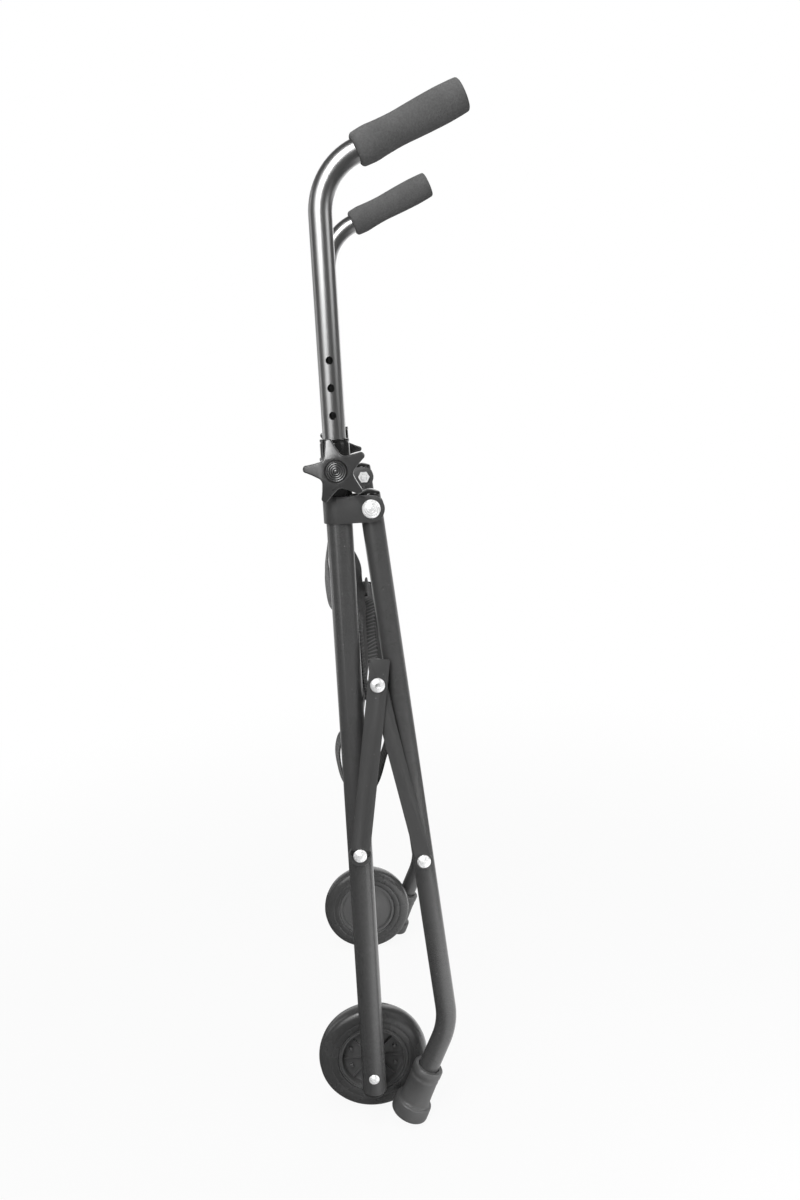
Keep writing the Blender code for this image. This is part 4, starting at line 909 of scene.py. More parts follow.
class MakeKnobs(bpy.types.Operator):
    """Star knobs with sloping arms and recessed caps, on their studs"""

    bl_idname = "walker.make_knobs"
    bl_label = "Star knobs"

    def execute(self, context):
        x, deep = span("left_star_knob")
        for side, first_arm in (("left", LEFT_ARM), ("right", RIGHT_ARM)):
            knob = star(deep - KNOB_NECK, first_arm)
            cut(knob, turned("drill", [(PIN_HOLE, -0.01), (PIN_HOLE, 0.0123)], 32))
            smooth(set_place(knob, (x, KNOB.y, KNOB.z), STAND), radians(40))
            if side == "right":
                mirrored(knob)
            dress(knob, side, "star_knob", "knob", "knob_plastic")

        x, deep = span("left_knob_cap")
        top = deep - 0.0007
        outline = [(0.0090, 0.0), (0.0096, 0.0), (0.0096, top - 0.0002), (0.0093, top)]
        for radius in (0.0086, 0.0066, 0.0046, 0.0026):
            outline += [(radius, top), (radius - 0.0003, top - 0.0004), (radius - 0.0007, top - 0.0004),
                        (radius - 0.0010, top)]
        cap = smooth(turned("cap", outline + [(0.0003, top + 0.0001)], 64), radians(60))
        on_axis(cap, x, KNOB, "knob_cap", "knob", "knob_plastic")

        x, deep = span("left_knob_stud")
        outline = [(0.0024, 0), (PIN_RADIUS, 0.0006), (PIN_RADIUS, deep - 0.0003), (0.0027, deep)]
        on_axis(smooth(turned("stud", outline, 32)), x, KNOB, "knob_stud", "knob")
        return {"FINISHED"}


def star(thick, first):
    """Five-armed star from a five-sided block: each side is drawn out into an arm that leans back."""
    obj = circle("star", 5, 0.0152, "NGON")
    bpy.ops.transform.translate(value=(0, 0, KNOB_NECK))
    push(0, 0, thick)
    face_outwards()
    bpy.ops.object.mode_set(mode="OBJECT")
    side = next(p for p in obj.data.polygons if abs(p.normal.z) < 0.1)
    obj.data.transform(Matrix.Rotation(first - atan2(side.normal.y, side.normal.x), 4, "Z"))
    bpy.ops.object.mode_set(mode="EDIT")
    for arm in range(5):
        draw_arm(obj, first + arm * 2 * pi / 5, thick)
    merge_doubles()
    pick(obj, lambda c, d: c.xy.length > 0.0300 and abs(d.z) > 0.8, "EDGE")
    bpy.ops.mesh.bevel(offset=0.0029, segments=6, affect="EDGES")
    pick(obj, lambda c, d: 0.014 < c.xy.length < 0.0165 and abs(d.z) > 0.9, "EDGE")
    bpy.ops.mesh.bevel(offset=0.0032, segments=5, affect="EDGES")
    bpy.ops.object.mode_set(mode="OBJECT")
    apply_modifier(obj, "BEVEL", width=0.0013, segments=4, limit_method="ANGLE", angle_limit=radians(45),
                   use_clamp_overlap=True)
    bpy.ops.object.mode_set(mode="EDIT")
    pick(obj, lambda c, n: n.z < -0.95 and abs(c.z - KNOB_NECK) < 0.0002)
    bpy.ops.mesh.inset(thickness=0.0013, use_even_offset=True)
    push(0, 0, 0.0055)
    bpy.ops.object.mode_set(mode="OBJECT")
    face = KNOB_NECK + thick
    recess = [(0.0098, face - 0.0022), (0.0098, face - 0.0018), (0.0112, face - 0.0001),
              (0.0116, face + 0.001)]
    cut(obj, turned("recess", recess, 64))
    neck = [(0.0080, 0), (KNOB_NECK_RADIUS, 0), (KNOB_NECK_RADIUS, KNOB_NECK + 0.0075)]
    return cut(obj, turned("neck", rounded(neck, 0.0008), 64), "UNION")


def draw_arm(obj, angle, thick):
    """Draw the side of the block that faces an angle out into an arm."""
    way = Vector((cos(angle), sin(angle), 0))
    pick(obj, lambda c, n: n.dot(way) > 0.98 and c.xy.length < 0.013)
    reach, half = ARM_START
    for next_reach, next_half, drop in ARM_STEPS:
        push(way.x * (next_reach - reach), way.y * (next_reach - reach), 0)
        narrow_arm(obj, way, way * next_reach + Vector((0, 0, KNOB_NECK + thick / 2)), next_half / half, drop)
        reach, half = next_reach, next_half


def narrow_arm(obj, way, centre, share, drop):
    """Narrow the selected end of an arm and lower its front edge."""
    side = Vector((-way.y, way.x, 0))
    mesh = bmesh.from_edit_mesh(obj.data)
    for vert in [v for v in mesh.verts if v.select]:
        away = (vert.co - centre).dot(side)
        vert.co -= side * away * (1 - share)
        if vert.co.z > centre.z:
            vert.co.z -= drop
    bmesh.update_edit_mesh(obj.data)


# Brackets, legs, braces and cross tubes

class MakeBrackets(bpy.types.Operator):
    """Bent pivot brackets with their bolts, nuts and bushes"""

    bl_idname = "walker.make_brackets"
    bl_label = "Pivot brackets"

    def execute(self, context):
        inner = context.scene.walker_sizes.tube_radius + GAP
        bracket = bent_plate(inner, PIVOT.y - TUBE_Y + BRACKET_HALF_HEIGHT)
        drill(bracket, AXLE_HOLE, (HALF_WIDTH, PIVOT.y, PIVOT.z), through=True)
        both_sides(soften(bracket, 0.0005), "pivot_bracket", "front_frame", "bracket_paint")

        seat = inner + BRACKET_PLATE + GAP
        bolt = smooth(turned("bolt", head_profile(PIVOT_HEAD, AXLE_RADIUS, 2 * seat + 0.0060), 64))
        on_axis(bolt, HALF_WIDTH + seat, PIVOT, "pivot_bolt", "front_frame")
        nut = hexagon("nut", 0.0078, NUT_HEIGHT, AXLE_HOLE)
        on_axis(nut, HALF_WIDTH - seat - NUT_HEIGHT, PIVOT, "pivot_nut", "front_frame")
        x, deep = span("left_pivot_bush")
        bush = ring("bush", AXLE_HOLE, 0.0065, 0, deep, 0.0003)
        on_axis(bush, x, PIVOT, "pivot_bush", "front_frame", "nylon")
        return {"FINISHED"}


def bent_plate(inner, reach):
    """Plate bent round the front tube, with two cheeks whose ends are rounded about the pivot."""
    half = BRACKET_HALF_HEIGHT
    bracket = circle("bracket", 64, inner)
    bpy.ops.mesh.bisect(plane_co=(0, 0, 0), plane_no=(0, 1, 0), clear_outer=True, threshold=1e-6)
    pick(bracket, lambda c, n: abs(c.y) < 1e-5, "VERT")
    push(0, reach, 0)
    bpy.ops.mesh.select_all(action="SELECT")
    push(0, 0, 2 * half)
    face_outwards()
    bpy.ops.object.mode_set(mode="OBJECT")
    bracket.data.transform(Matrix.Translation((HALF_WIDTH, TUBE_Y, PIVOT.z - half)))
    turn_plate_outwards(bracket)
    apply_modifier(bracket, "SOLIDIFY", thickness=BRACKET_PLATE, offset=1, use_even_offset=True)

    front = GAP - inner - TRIM_MARGIN
    rear = TUBE_Y + reach
    trim = block("trim", (0.08, reach - front, 2 * half), (HALF_WIDTH, TUBE_Y + (reach + front) / 2, PIVOT.z))
    pick(trim, lambda c, d: abs(c.y - rear) < 1e-4 and abs(d.x) > 0.9, "EDGE")
    bpy.ops.mesh.bevel(offset=half - 0.00001, segments=16, affect="EDGES")
    bpy.ops.object.mode_set(mode="OBJECT")
    return cut(bracket, trim, "INTERSECT")


def turn_plate_outwards(obj):
    """Turn the faces of the open plate away from the tube's axis, if they point at it."""
    make_active(obj)
    outwards = sum(p.normal.dot(p.center - Vector((HALF_WIDTH, p.center.y + 0.001, PIVOT.z)))
                   for p in obj.data.polygons)
    if outwards < 0:
        open_mesh()
        bpy.ops.mesh.flip_normals()
        bpy.ops.object.mode_set(mode="OBJECT")


class MakeRearLegs(bpy.types.Operator):
    """Bent rear legs with their plugs and rubber ferrules"""

    bl_idname = "walker.make_rear_legs"
    bl_label = "Rear legs and ferrules"

    def execute(self, context):
        radius = context.scene.walker_sizes.leg_radius
        down = Vector((0, sin(LEG_LEAN), -cos(LEG_LEAN)))
        below = Vector((0, -sin(FOOT_LEAN), -cos(FOOT_LEAN)))
        top = Vector((HALF_WIDTH, PIVOT.y, PIVOT.z)) - down * LEG_ABOVE_PIVOT
        corner = Vector((HALF_WIDTH, PIVOT.y + (PIVOT.z - LEG_BEND_Z) * tan(LEG_LEAN), LEG_BEND_Z))
        cut_back = LEG_BEND_RADIUS * tan((LEG_LEAN + FOOT_LEAN) / 2)
        start = corner - down * cut_back
        run = start - top
        last = below * (FOOT_LENGTH - FERRULE_FLOOR - GAP - cut_back)
        centre = start - Vector((0, cos(LEG_LEAN), sin(LEG_LEAN))) * LEG_BEND_RADIUS
        steps = [("run", run.y, run.z), ("bend", LEG_LEAN + FOOT_LEAN, centre.y, centre.z),
                 ("run", last.y, last.z)]
        leg = tube("leg", radius, LEG_WALL, (*top, LEG_LEAN), steps)
        drill(leg, 0.0068, (HALF_WIDTH, PIVOT.y, PIVOT.z), through=True, sides=48)
        drill(leg, PIN_HOLE, (HALF_WIDTH, REAR_EYE.y, REAR_EYE.z))
        both_sides(smooth(leg), "rear_leg", "rear_leg", "frame_paint")

        shank = radius - LEG_WALL - GAP
        outline = [(shank * 0.6, -0.0045), (shank, -0.0045), (shank, GAP), (radius, GAP),
                   (radius, GAP + 0.0012)]
        outline += [(0.0107, 0.0021), (0.0102, 0.0028), (0.0095, 0.0033), (0.0080, 0.0041), (0.0060, 0.0050),
                    (0.0040, 0.0057), (0.0020, 0.0061), (0.0006, 0.0062)]
        plug = set_place(smooth(turned("plug", outline)), top, Matrix.Rotation(LEG_LEAN, 3, "X"))
        both_sides(plug, "leg_plug", "rear_leg", "black_plastic")

        ferrule = smooth(turned("ferrule", ferrule_profile(radius + GAP), 96), radians(50))
        set_place(ferrule, corner + below * FOOT_LENGTH, Matrix.Rotation(-FOOT_LEAN, 3, "X"))
        both_sides(ferrule, "ferrule", "rear_leg", "ferrule_rubber")
        return {"FINISHED"}


def ferrule_profile(bore):
    """Outline from the bore's floor, over the collar, down to the tread rings of the base."""
    top, collar, waist = FERRULE_HEIGHT, COLLAR_RADIUS, WAIST_RADIUS
    outline = [(bore * 0.4, FERRULE_FLOOR), (bore, FERRULE_FLOOR), (bore, top - 0.0008), (bore + 0.0006, top),
               (collar - 0.0010, top), (collar, top - 0.0012), (collar, top - 0.0078),
               (collar - 0.0006, top - 0.0086), (waist, top - 0.0096), (waist, top - 0.0118),
               (0.0160, top - 0.0125), (0.0160, top - 0.0140), (waist, top - 0.0147), (0.0160, 0.030),
               (0.0164, 0.0205), (0.0168, 0.0186), (0.0176, 0.0176), (0.0192, 0.0172), (0.0199, 0.0166),
               (0.0202, 0.0156), (0.0204, 0.0100), (BASE_RADIUS, BASE_EDGE)]
    outline += [(BASE_RADIUS - BASE_EDGE * (1 - cos(a)), BASE_EDGE * (1 - sin(a)))
                for a in (0.3, 0.6, 0.9, 1.2, pi / 2)]
    for tread in (0.0140, 0.0110, 0.0080, 0.0050):
        outline += [(tread, 0.0), (tread - 0.0003, 0.0009), (tread - 0.0012, 0.0009), (tread - 0.0015, 0.0)]
    return outline + [(0.0010, 0.0)]


class MakeBraces(bpy.types.Operator):
    """Folding braces: front and rear links with their rivets, bolts, nuts and washers"""

    bl_idname = "walker.make_braces"
    bl_label = "Folding braces"

    def execute(self, context):
        rear_x, rear_deep = span("left_rear_link")
        front_x, front_deep = span("left_front_link")
        both_sides(brace_bar(FRONT_BAR, front_x, front_deep, FRONT_EYE), "front_link", "front_link",
                   "bracket_paint")
        both_sides(brace_bar(REAR_BAR, rear_x, rear_deep, REAR_EYE), "rear_link", "rear_link",
                   "bracket_paint")

        seat = front_x + front_deep + GAP
        rivet = smooth(turned("rivet", head_profile(RIVET_HEAD, PIN_RADIUS, 0.0091), 48))
        on_axis(rivet, seat, FRONT_EYE, "front_link_rivet", "front_frame")
        rivet = smooth(turned("rivet", head_profile(RIVET_HEAD, PIN_RADIUS, 0.0070), 48))
        on_axis(rivet, rear_x + rear_deep + GAP, REAR_EYE, "rear_link_rivet", "rear_leg")
        bolt = turned("bolt", head_profile(MID_HEAD, PIN_RADIUS, front_deep), 48)
        cut(bolt, set_place(hexagon("socket", 0.0031, 0.006, 0.0002), (0, 0, 0.0003)))
        on_axis(smooth(bolt), seat, MID_PIN, "link_bolt", "front_link")

        x, deep = span("left_link_nut")
        outline = [(PIN_RADIUS * 0.8, deep), (PIN_RADIUS, deep - 0.0004), (PIN_RADIUS, 0.0052),
                   (0.0060, 0.0052), (0.0062, 0.0050), (0.0062, 0.0030), (0.0055, 0.0016), (0.0040, 0.0005),
                   (0.0020, 0.0)]
        on_axis(smooth(turned("nut", outline, 48)), x, MID_PIN, "link_nut", "rear_link")
        x, deep = span("left_link_washer")
        washer = ring("washer", PIN_HOLE, 0.0075, 0, deep, 0.0003)
        on_axis(washer, x, FRONT_EYE, "link_washer", "front_frame", "nylon")
        return {"FINISHED"}


def brace_bar(bar_sizes, x, deep, eye):
    """Flat bar with an eye, drawn along Y from its eye to past the middle pin and then set in place."""
    width, eye_radius, past, corner = bar_sizes
    length = (MID_PIN - eye).yz.length
    end = length + past
    bar = block("bar", (width, end, deep), (0, end / 2, deep / 2))
    pick(bar, lambda c, d: abs(c.y - end) < 1e-4 and abs(d.z) > 0.9, "EDGE")
    bpy.ops.mesh.bevel(offset=corner, segments=10, affect="EDGES")
    bpy.ops.object.mode_set(mode="OBJECT")
    cut(bar, turned("eye", [(eye_radius, 0), (eye_radius, deep)], 64), "UNION")
    for y in (0, length):
        bit = turned("drill", [(PIN_HOLE, -deep), (PIN_HOLE, 2 * deep)], 32)
        cut(bar, set_place(bit, (0, y, 0)))
    soften(bar, 0.0004)
    lean = Matrix.Rotation(atan2(MID_PIN.z - eye.z, MID_PIN.y - eye.y) - pi / 2, 3, "X")
    return set_place(bar, (x, eye.y, eye.z), lean @ STAND)


class MakeCrossTubes(bpy.types.Operator):
    """Straight lower and upper cross tubes, coped to the front tubes and welded on"""

    bl_idname = "walker.make_cross_tubes"
    bl_label = "Cross tubes"

    def execute(self, context):
        sizes = context.scene.walker_sizes
        reach = HALF_WIDTH - sizes.tube_radius / 2
        cope_radius = sizes.tube_radius + GAP
        for name in ("lower_cross_tube", "upper_cross_tube"):
            z = middle(name).z
            outline = washer_profile(sizes.cross_radius - CROSS_WALL, sizes.cross_radius, -reach, reach)
            piece = turned(name, outline, sizes.round_sides, hollow=True)
            set_place(piece, (0, TUBE_Y, z), OUTWARD)
            for side in (1, -1):
                cope = turned("cope", [(cope_radius, -0.02), (cope_radius, 0.02)], 64)
                cut(piece, set_place(cope, (side * HALF_WIDTH, TUBE_Y, z)))
            piece.name = name + "_finished"
            ride(smooth(piece), name, "front_frame", "frame_paint")
        return {"FINISHED"}


# Wheels

class MakeWheels(bpy.types.Operator):
    """Wheels: tyre, ribbed rim and bush, with axle bolt, spacer and nut"""

    bl_idname = "walker.make_wheels"
    bl_label = "Wheels"

    def execute(self, context):
        sizes = context.scene.walker_sizes
        tyre = smooth(turned("tyre", tyre_profile(sizes.wheel_radius), 128, hollow=True), radians(50))
        on_axis(tyre, WHEEL_X, AXLE, "tyre", "wheel", "tyre_rubber")
        on_axis(wheel_rim(), WHEEL_X, AXLE, "wheel_rim", "wheel", "rim_plastic")
        bush = ring("bush", AXLE_HOLE, 0.0070, -HUB_HALF_LENGTH, HUB_HALF_LENGTH, 0.0003)
        on_axis(bush, WHEEL_X, AXLE, "wheel_bush", "wheel", "nylon")

        seat = HALF_WIDTH + sizes.tube_radius + GAP
        bolt_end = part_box("left_axle_bolt")[0].x
        bolt = turned("bolt", head_profile(AXLE_HEAD, AXLE_RADIUS, seat - bolt_end), 48)
        cut(bolt, set_place(hexagon("socket", 0.0019, 0.004, 0.0002), (0, 0, 0.0014)))
        on_axis(smooth(bolt), seat, AXLE, "axle_bolt", "front_frame")
        x, deep = span("left_axle_spacer")
        spacer = ring("spacer", AXLE_HOLE, 0.0080, 0, deep, 0.0004)
        on_axis(spacer, x, AXLE, "axle_spacer", "front_frame", "black_plastic")
        x, deep = span("left_axle_nut")
        on_axis(hexagon("nut", 0.0075, deep, AXLE_HOLE), x, AXLE, "axle_nut", "front_frame")
        return {"FINISHED"}


def tyre_profile(radius):
    """Closed outline of the solid tyre, with a fine moulding groove on each side."""
    side = [(radius, 0.0), (radius - 0.0001, 0.0020), (radius - 0.0005, 0.0040)]
    side += [(radius - 0.0008 - 0.0095 * (1 - cos(a)), 0.0055 + 0.0060 * sin(a))
             for a in (0.25, 0.5, 0.75, 1.0, 1.25, pi / 2)]
    side += [(0.0470, 0.01150), (0.0463, 0.01115), (0.0456, 0.01150), (0.0415, 0.0113), (0.0400, 0.0111),
             (0.0391, 0.0107), (0.0388, 0.0102)]
    return [(r, -h) for r, h in reversed(side[1:])] + side


def wheel_rim():
    """Rim ring, web and hub turned in one, with ribs and small bosses joined to it."""
    hub = HUB_HALF_LENGTH
    outline = [(0.0385, -0.0098), (0.0385, 0.0098), (0.0374, 0.0098), (0.0370, 0.0090), (0.0358, 0.0090),
               (0.0354, 0.0098), (0.0344, 0.0098), (0.0338, 0.0088), (0.0334, 0.0030), (0.0324, 0.0022),
               (0.0300, 0.0020), (0.0135, 0.0020), (0.0115, 0.0026), (0.0102, 0.0040), (0.0100, 0.0120),
               (0.0096, hub), (0.0073, hub), (0.0073, -hub), (0.0096, -hub), (0.0100, -0.0120),
               (0.0102, -0.0070), (0.0115, -0.0065), (0.0343, -0.0065), (0.0353, -0.0098)]
    rim = turned("rim", outline, 128, hollow=True)
    for i in range(RIB_COUNT):
        cut(rim, wheel_rib(2 * pi * i / RIB_COUNT), "UNION")
        boss = turned("boss", [(0.0026, -0.0045), (0.0023, 0.0046), (0.0019, 0.0051)], 24)
        turn = 2 * pi * (i + 0.5) / RIB_COUNT
        cut(rim, set_place(boss, (BOSS_CIRCLE * cos(turn), BOSS_CIRCLE * sin(turn), 0)), "UNION")
    return smooth(rim, radians(30))


def wheel_rib(angle):
    """One spoke-like rib from hub to rim, with a narrower crest."""
    rib = block("rib", (0.0262, 0.0018, 0.0095), (0.0222, 0, 0.0002))
    pick(rib, lambda c, n: n.z > 0.9)
    bpy.ops.transform.resize(value=(1, 0.55, 1), center_override=(0.0222, 0, 0.005))
    bpy.ops.object.mode_set(mode="OBJECT")
    rib.data.transform(Matrix.Rotation(angle, 4, "Z"))
    return rib


# Strap

class MakeStrap(bpy.types.Operator):
    """Webbing strap between the middle pins of the braces, with two loose tails"""

    bl_idname = "walker.make_strap"
    bl_label = "Strap"

    def execute(self, context):
        width = context.scene.walker_sizes.strap_width
        rear_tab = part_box("left_rear_link")[0].x - GAP - 0.0008
        front_tab = rear_tab - 0.0019
        strap_run("strap_rear_run", strap_places(REAR_RUN, REAR_RUN_RISE), rear_tab, 1, REAR_RUN_LEAN,
                  0.0, width)
        strap_tail("strap_flap", strap_places(FLAP, REAR_RUN_RISE), FLAP_WIDTH, FLAP_ACROSS)
        strap_run("strap_front_run", strap_places(FRONT_RUN, FRONT_RUN_RISE), front_tab, -1, FRONT_RUN_LEAN,
                  FRONT_RUN_TIP, width)
        strap_tail("strap_curl", strap_places(CURL, REAR_RUN_RISE), CURL_WIDTH, CURL_ACROSS)
        return {"FINISHED"}


def strap_places(shares, rise):
    """Places along the strap, from shares of the half width, the pin's distance and the rise."""
    behind = MID_PIN.y - TUBE_Y
    return [Vector((px * HALF_WIDTH, TUBE_Y + py * behind, MID_PIN.z + pz * rise)) for px, py, pz in shares]


def smooth_route(points, steps=8):
    """Smooth curve through the points."""
    dense = []
    last = len(points) - 1
    for i in range(last):
        p0, p1, p2, p3 = (points[min(max(j, 0), last)] for j in (i - 1, i, i + 1, i + 2))
        for k in range(steps):
            t = k / steps
            dense.append(0.5 * (2 * p1 + (p2 - p0) * t + (2 * p0 - 5 * p1 + 4 * p2 - p3) * t ** 2
                                + (3 * p1 - p0 - 3 * p2 + p3) * t ** 3))
    dense.append(points[last].copy())
    return dense


def ramp(value, length):
    """0 at or below 0, 1 from a length on, and a straight line in between."""
    return min(max(value / length, 0.0), 1.0)


def strap_run(name, points, tab_x, leave, lean, tip, width):
    """One run from pin to pin: narrow round the pins and beside the left side, upright between the sides."""
    pins = [Vector((x, MID_PIN.y, MID_PIN.z)) for x in (tab_x, -tab_x)]
    up = Vector((0, 0, leave))
    line = [pins[0] - up * STRAP_FREE_END, pins[0] - up * 0.003, pins[0], pins[0] + up * 0.004]
    line += smooth_route([pins[0] + up * STRAP_TURN] + points + [pins[1] + up * STRAP_TURN])
    line += [pins[1] + up * 0.004, pins[1], pins[1] - up * 0.003, pins[1] - up * STRAP_FREE_END]
    guides, widths = [], []
    for place in line:
        inwards = tab_x - abs(place.x)
        beside = ramp(inwards, TWIST_LENGTH)
        upright = ramp(STRAP_UPRIGHT_X - place.x, STRAP_TURN_LENGTH) if place.x > 0 else beside
        share = beside - upright
        guides.append(Vector((share * sin(lean), leave * (1 - beside + share * cos(lean)) + tip * upright,
                              upright)))
        flare = ramp(inwards, STRAP_FLARE_LENGTH) * (upright if place.x > 0 else 1.0)
        widths.append(STRAP_END_WIDTH + (width - STRAP_END_WIDTH) * flare)
    strap = ribbon(name, line, guides, widths)
    for x in (tab_x, -tab_x):
        drill(strap, PIN_HOLE, (x, MID_PIN.y, MID_PIN.z), through=True, reach=0.003)
    strap.name = name + "_finished"
    ride(strap, name, "strap", "strap_webbing")


def strap_tail(name, points, width, across):
    """Loose piece of the strap that hangs near its left pin."""
    line = smooth_route(points)
    tail = ribbon(name, line, [Vector(across)] * len(line), [width] * len(line))
    tail.name = name + "_finished"
    ride(tail, None, "strap", "strap_webbing")


def ribbon(name, line, guides, widths):
    """Webbing along a line, nine vertices wide, with its own map in metres."""
    mesh = bpy.data.meshes.new(name)
    shape = bmesh.new()
    uv = shape.loops.layers.uv.new("UVMap")
    rows, along = [], [0.0]
    for i, place in enumerate(line):
        tangent = (line[min(i + 1, len(line) - 1)] - line[max(i - 1, 0)]).normalized()
        across = guides[i] - tangent * guides[i].dot(tangent)
        across = across.normalized() * widths[i] / 2
        rows.append([shape.verts.new(place + across * (j / 4 - 1)) for j in range(9)])
        if i:
            along.append(along[-1] + (place - line[i - 1]).length)
    for i in range(len(rows) - 1):
        for j in range(8):
            spots = ((i, j), (i, j + 1), (i + 1, j + 1), (i + 1, j))
            face = shape.faces.new([rows[r][c] for r, c in spots])
            for loop, (r, c) in zip(face.loops, spots):
                loop[uv].uv = (along[r], widths[r] * (c / 8 - 0.5))
    shape.to_mesh(mesh)
    shape.free()
    obj = bpy.data.objects.new(name, mesh)
    bpy.context.scene.collection.objects.link(obj)
    apply_modifier(obj, "SOLIDIFY", thickness=STRAP_WALL, offset=0)
    return smooth(obj, radians(50))


# Studio

class MakeStudio(bpy.types.Operator):
    """Pale floor, soft lights and the camera"""

    bl_idname = "walker.make_studio"
    bl_label = "Studio"

    def execute(self, context):
        floor = circle("studio_floor", 96, 1, "NGON")
        bpy.ops.transform.resize(value=(FLOOR_RADIUS, FLOOR_RADIUS, 1), center_override=(0, 0, 0))
        bpy.ops.object.mode_set(mode="OBJECT")
        floor.data.materials.append(floor_finish())
        for lamp in LAMPS:
            soft_box(*lamp)
        surroundings()
        photo_camera()
        context.scene.view_settings.view_transform = "Standard"
        return {"FINISHED"}


def floor_finish():
    """Pale floor: matt and shadowed near the walker, plain white to the camera further out. To reflections it
    is nearly black, with white glowing patches behind and beside the walker: painted reflections and painted
    shade in the metal and paint.
    """
    finish = Finish("pale_floor", (0.45, 0.45, 0.45), 0.9)
    place = finish.place()
    cloud = finish.noise(place, 3.0)
    finish.set("Base Color", finish.mix(cloud, (0.44, 0.44, 0.44, 1), (0.46, 0.46, 0.46, 1)))
    path = finish.nodes.new("ShaderNodeLightPath")
    camera, glossy, through = (Socket(finish, path.outputs[name]) for name in
                               ("Is Camera Ray", "Is Glossy Ray", "Is Transmission Ray"))
    away = finish.node("ShaderNodeVectorMath", {"operation": "LENGTH"}, (place,), "Value")
    clear = finish.node("ShaderNodeMapRange", {"interpolation_type": "SMOOTHSTEP"},
                        (away, 0.35, 1.5, 0.93, 1.0))
    across, side = finish.axis(place, "X"), finish.axis(place, "Y")
    behind = finish.node("ShaderNodeMapRange", None, (across, -1.3, -0.6, 1.0, 0.10))
    near = across.above(0.55, 0.2)
    beside = side.above(0.02, 0.10) * (1 - side.above(0.55, 0.15)) * (1 - near)
    white = finish.nodes.new("ShaderNodeEmission")
    # To reflections the floor glows white behind and beside the walker and is nearly black elsewhere: painted
    # reflections and painted shade
    finish.feed(white.inputs["Strength"], camera + through + glossy * (behind + beside * 1.1))
    blend = finish.nodes.new("ShaderNodeMixShader")
    finish.feed(blend.inputs[0], camera * clear + glossy + through)
    finish.links.new(finish.shader.outputs[0], blend.inputs[1])
    finish.links.new(white.outputs[0], blend.inputs[2])
    finish.links.new(blend.outputs[0], finish.nodes["Material Output"].inputs["Surface"])
    return finish.material


def surroundings():
    """White background to the camera and, behind the walker, to metal; plain grey light from all round."""
    world = bpy.data.worlds.new("studio_world")
    bpy.context.scene.world = world
    world.use_nodes = True
    nodes, links = world.node_tree.nodes, world.node_tree.links
    ambient = nodes["Background"]
    ambient.inputs["Color"].default_value = (1, 1, 1, 1)
    ambient.inputs["Strength"].default_value = 0.15
    path = nodes.new("ShaderNodeLightPath")
    direction = nodes.new("ShaderNodeTexCoord")
    parts = nodes.new("ShaderNodeSeparateXYZ")
    links.new(direction.outputs["Generated"], parts.inputs[0])
    behind = nodes.new("ShaderNodeMapRange")
    links.new(parts.outputs["X"], behind.inputs[0])
    for slot, value in zip((1, 2, 3, 4), (-0.95, -0.60, 1.0, 0.10)):
        behind.inputs[slot].default_value = value
    last = ambient.outputs[0]
    for name in ("Is Glossy Ray", "Is Transmission Ray", "Is Camera Ray"):
        white = nodes.new("ShaderNodeBackground")
        white.inputs["Color"].default_value = (1, 1, 1, 1)
        if name == "Is Glossy Ray":
            links.new(behind.outputs[0], white.inputs["Strength"])
        mix = nodes.new("ShaderNodeMixShader")
        links.new(path.outputs[name], mix.inputs[0])
        links.new(last, mix.inputs[1])
        links.new(white.outputs[0], mix.inputs[2])
        last = mix.outputs[0]
    links.new(last, nodes["World Output"].inputs["Surface"])


def soft_box(name, place, width, height, glow, mirrored_in_pieces):
    """Soft box of a given glow that faces the walker, and that no camera sees."""
    data = bpy.data.lights.new(name, "AREA")
    data.shape = "RECTANGLE"
    data.size, data.size_y = width, height
    data.energy = glow * pi * width * height
    lamp = bpy.data.objects.new(name, data)
    bpy.context.scene.collection.objects.link(lamp)
    lamp.visible_camera = False
    lamp.visible_glossy = mirrored_in_pieces
    lamp.location = place
    aim = Vector(AIM) - Vector(place)
    lamp.rotation_euler = aim.to_track_quat("-Z", "Y").to_euler()


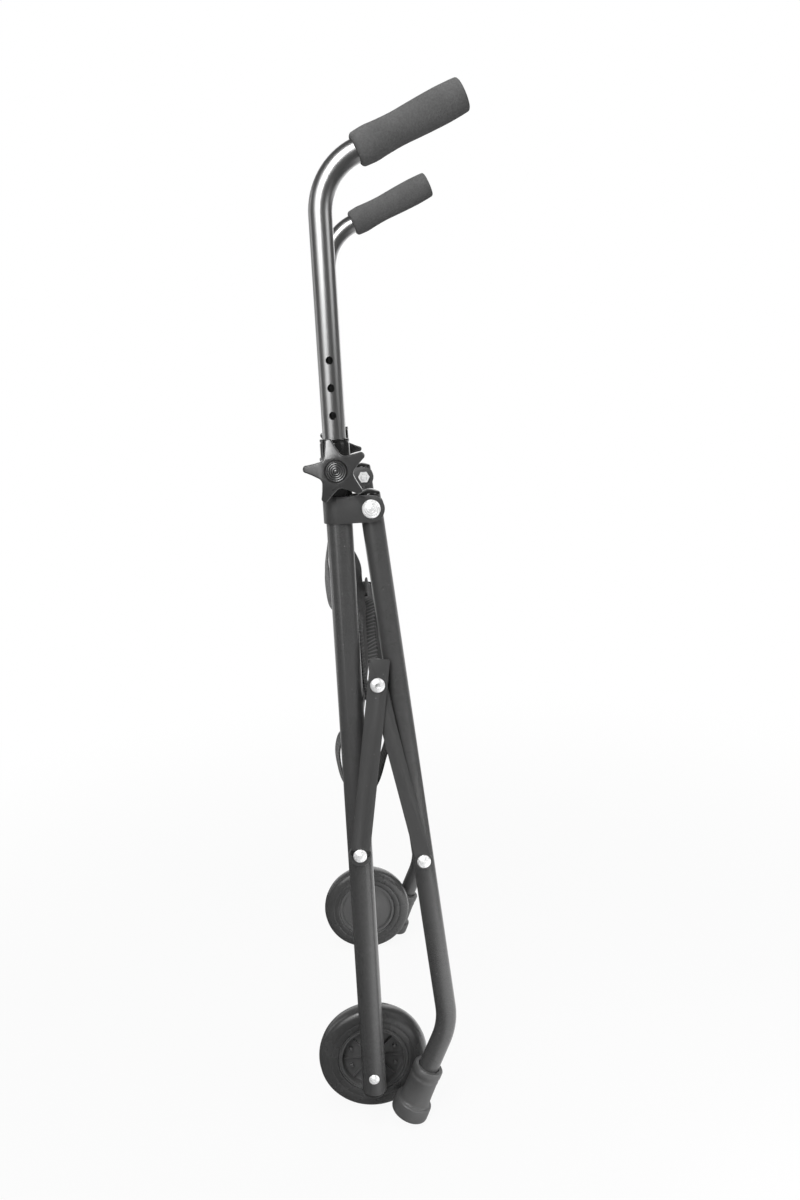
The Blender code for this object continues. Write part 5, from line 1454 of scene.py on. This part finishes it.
def photo_camera():
    """Camera where the photograph was taken from."""
    data = bpy.data.cameras.new("photo_camera")
    data.sensor_fit = "VERTICAL"
    data.sensor_height = 36.0
    data.lens = CAMERA_LENS
    camera = bpy.data.objects.new("photo_camera", data)
    bpy.context.scene.collection.objects.link(camera)
    right, up = Vector(CAMERA_RIGHT), Vector(CAMERA_UP)
    turn = Matrix((right, up, right.cross(up))).transposed()
    camera.matrix_world = Matrix.Translation(CAMERA_PLACE) @ turn.to_4x4()
    bpy.context.scene.camera = camera


class WALKER_PT_panel(bpy.types.Panel):
    """Walker sizes, colours and building steps"""

    bl_label = "Walker"
    bl_idname = "WALKER_PT_panel"
    bl_space_type = "VIEW_3D"
    bl_region_type = "UI"
    bl_category = "Walker"

    def draw(self, context):
        for group in (context.scene.walker_sizes, context.scene.walker_colours):
            for name in group.__annotations__:
                self.layout.prop(group, name)
        for step in STEPS:
            self.layout.operator(step.bl_idname)


STEPS = (MakeFrontTubes, MakeSleeves, MakeHandles, MakeKnobs, MakeBrackets, MakeRearLegs, MakeBraces,
         MakeCrossTubes, MakeWheels, MakeStrap, MakeStudio)
CLASSES = (WalkerSizes, WalkerColours) + STEPS + (WALKER_PT_panel,)


def register():
    """Register the classes and hang the sizes and colours on the scene."""
    for kind in CLASSES:
        bpy.utils.register_class(kind)
    bpy.types.Scene.walker_sizes = PointerProperty(type=WalkerSizes)
    bpy.types.Scene.walker_colours = PointerProperty(type=WalkerColours)


def unregister():
    """Undo what register did."""
    del bpy.types.Scene.walker_colours
    del bpy.types.Scene.walker_sizes
    for kind in reversed(CLASSES):
        bpy.utils.unregister_class(kind)


def main():
    """Build the walker and its studio."""
    register()
    bpy.ops.walker.make_front_tubes()
    bpy.ops.walker.make_sleeves()
    bpy.ops.walker.make_handles()
    bpy.ops.walker.make_knobs()
    bpy.ops.walker.make_brackets()
    bpy.ops.walker.make_rear_legs()
    bpy.ops.walker.make_braces()
    bpy.ops.walker.make_cross_tubes()
    bpy.ops.walker.make_wheels()
    bpy.ops.walker.make_strap()
    bpy.ops.walker.make_studio()


if __name__ == "__main__":
    main()
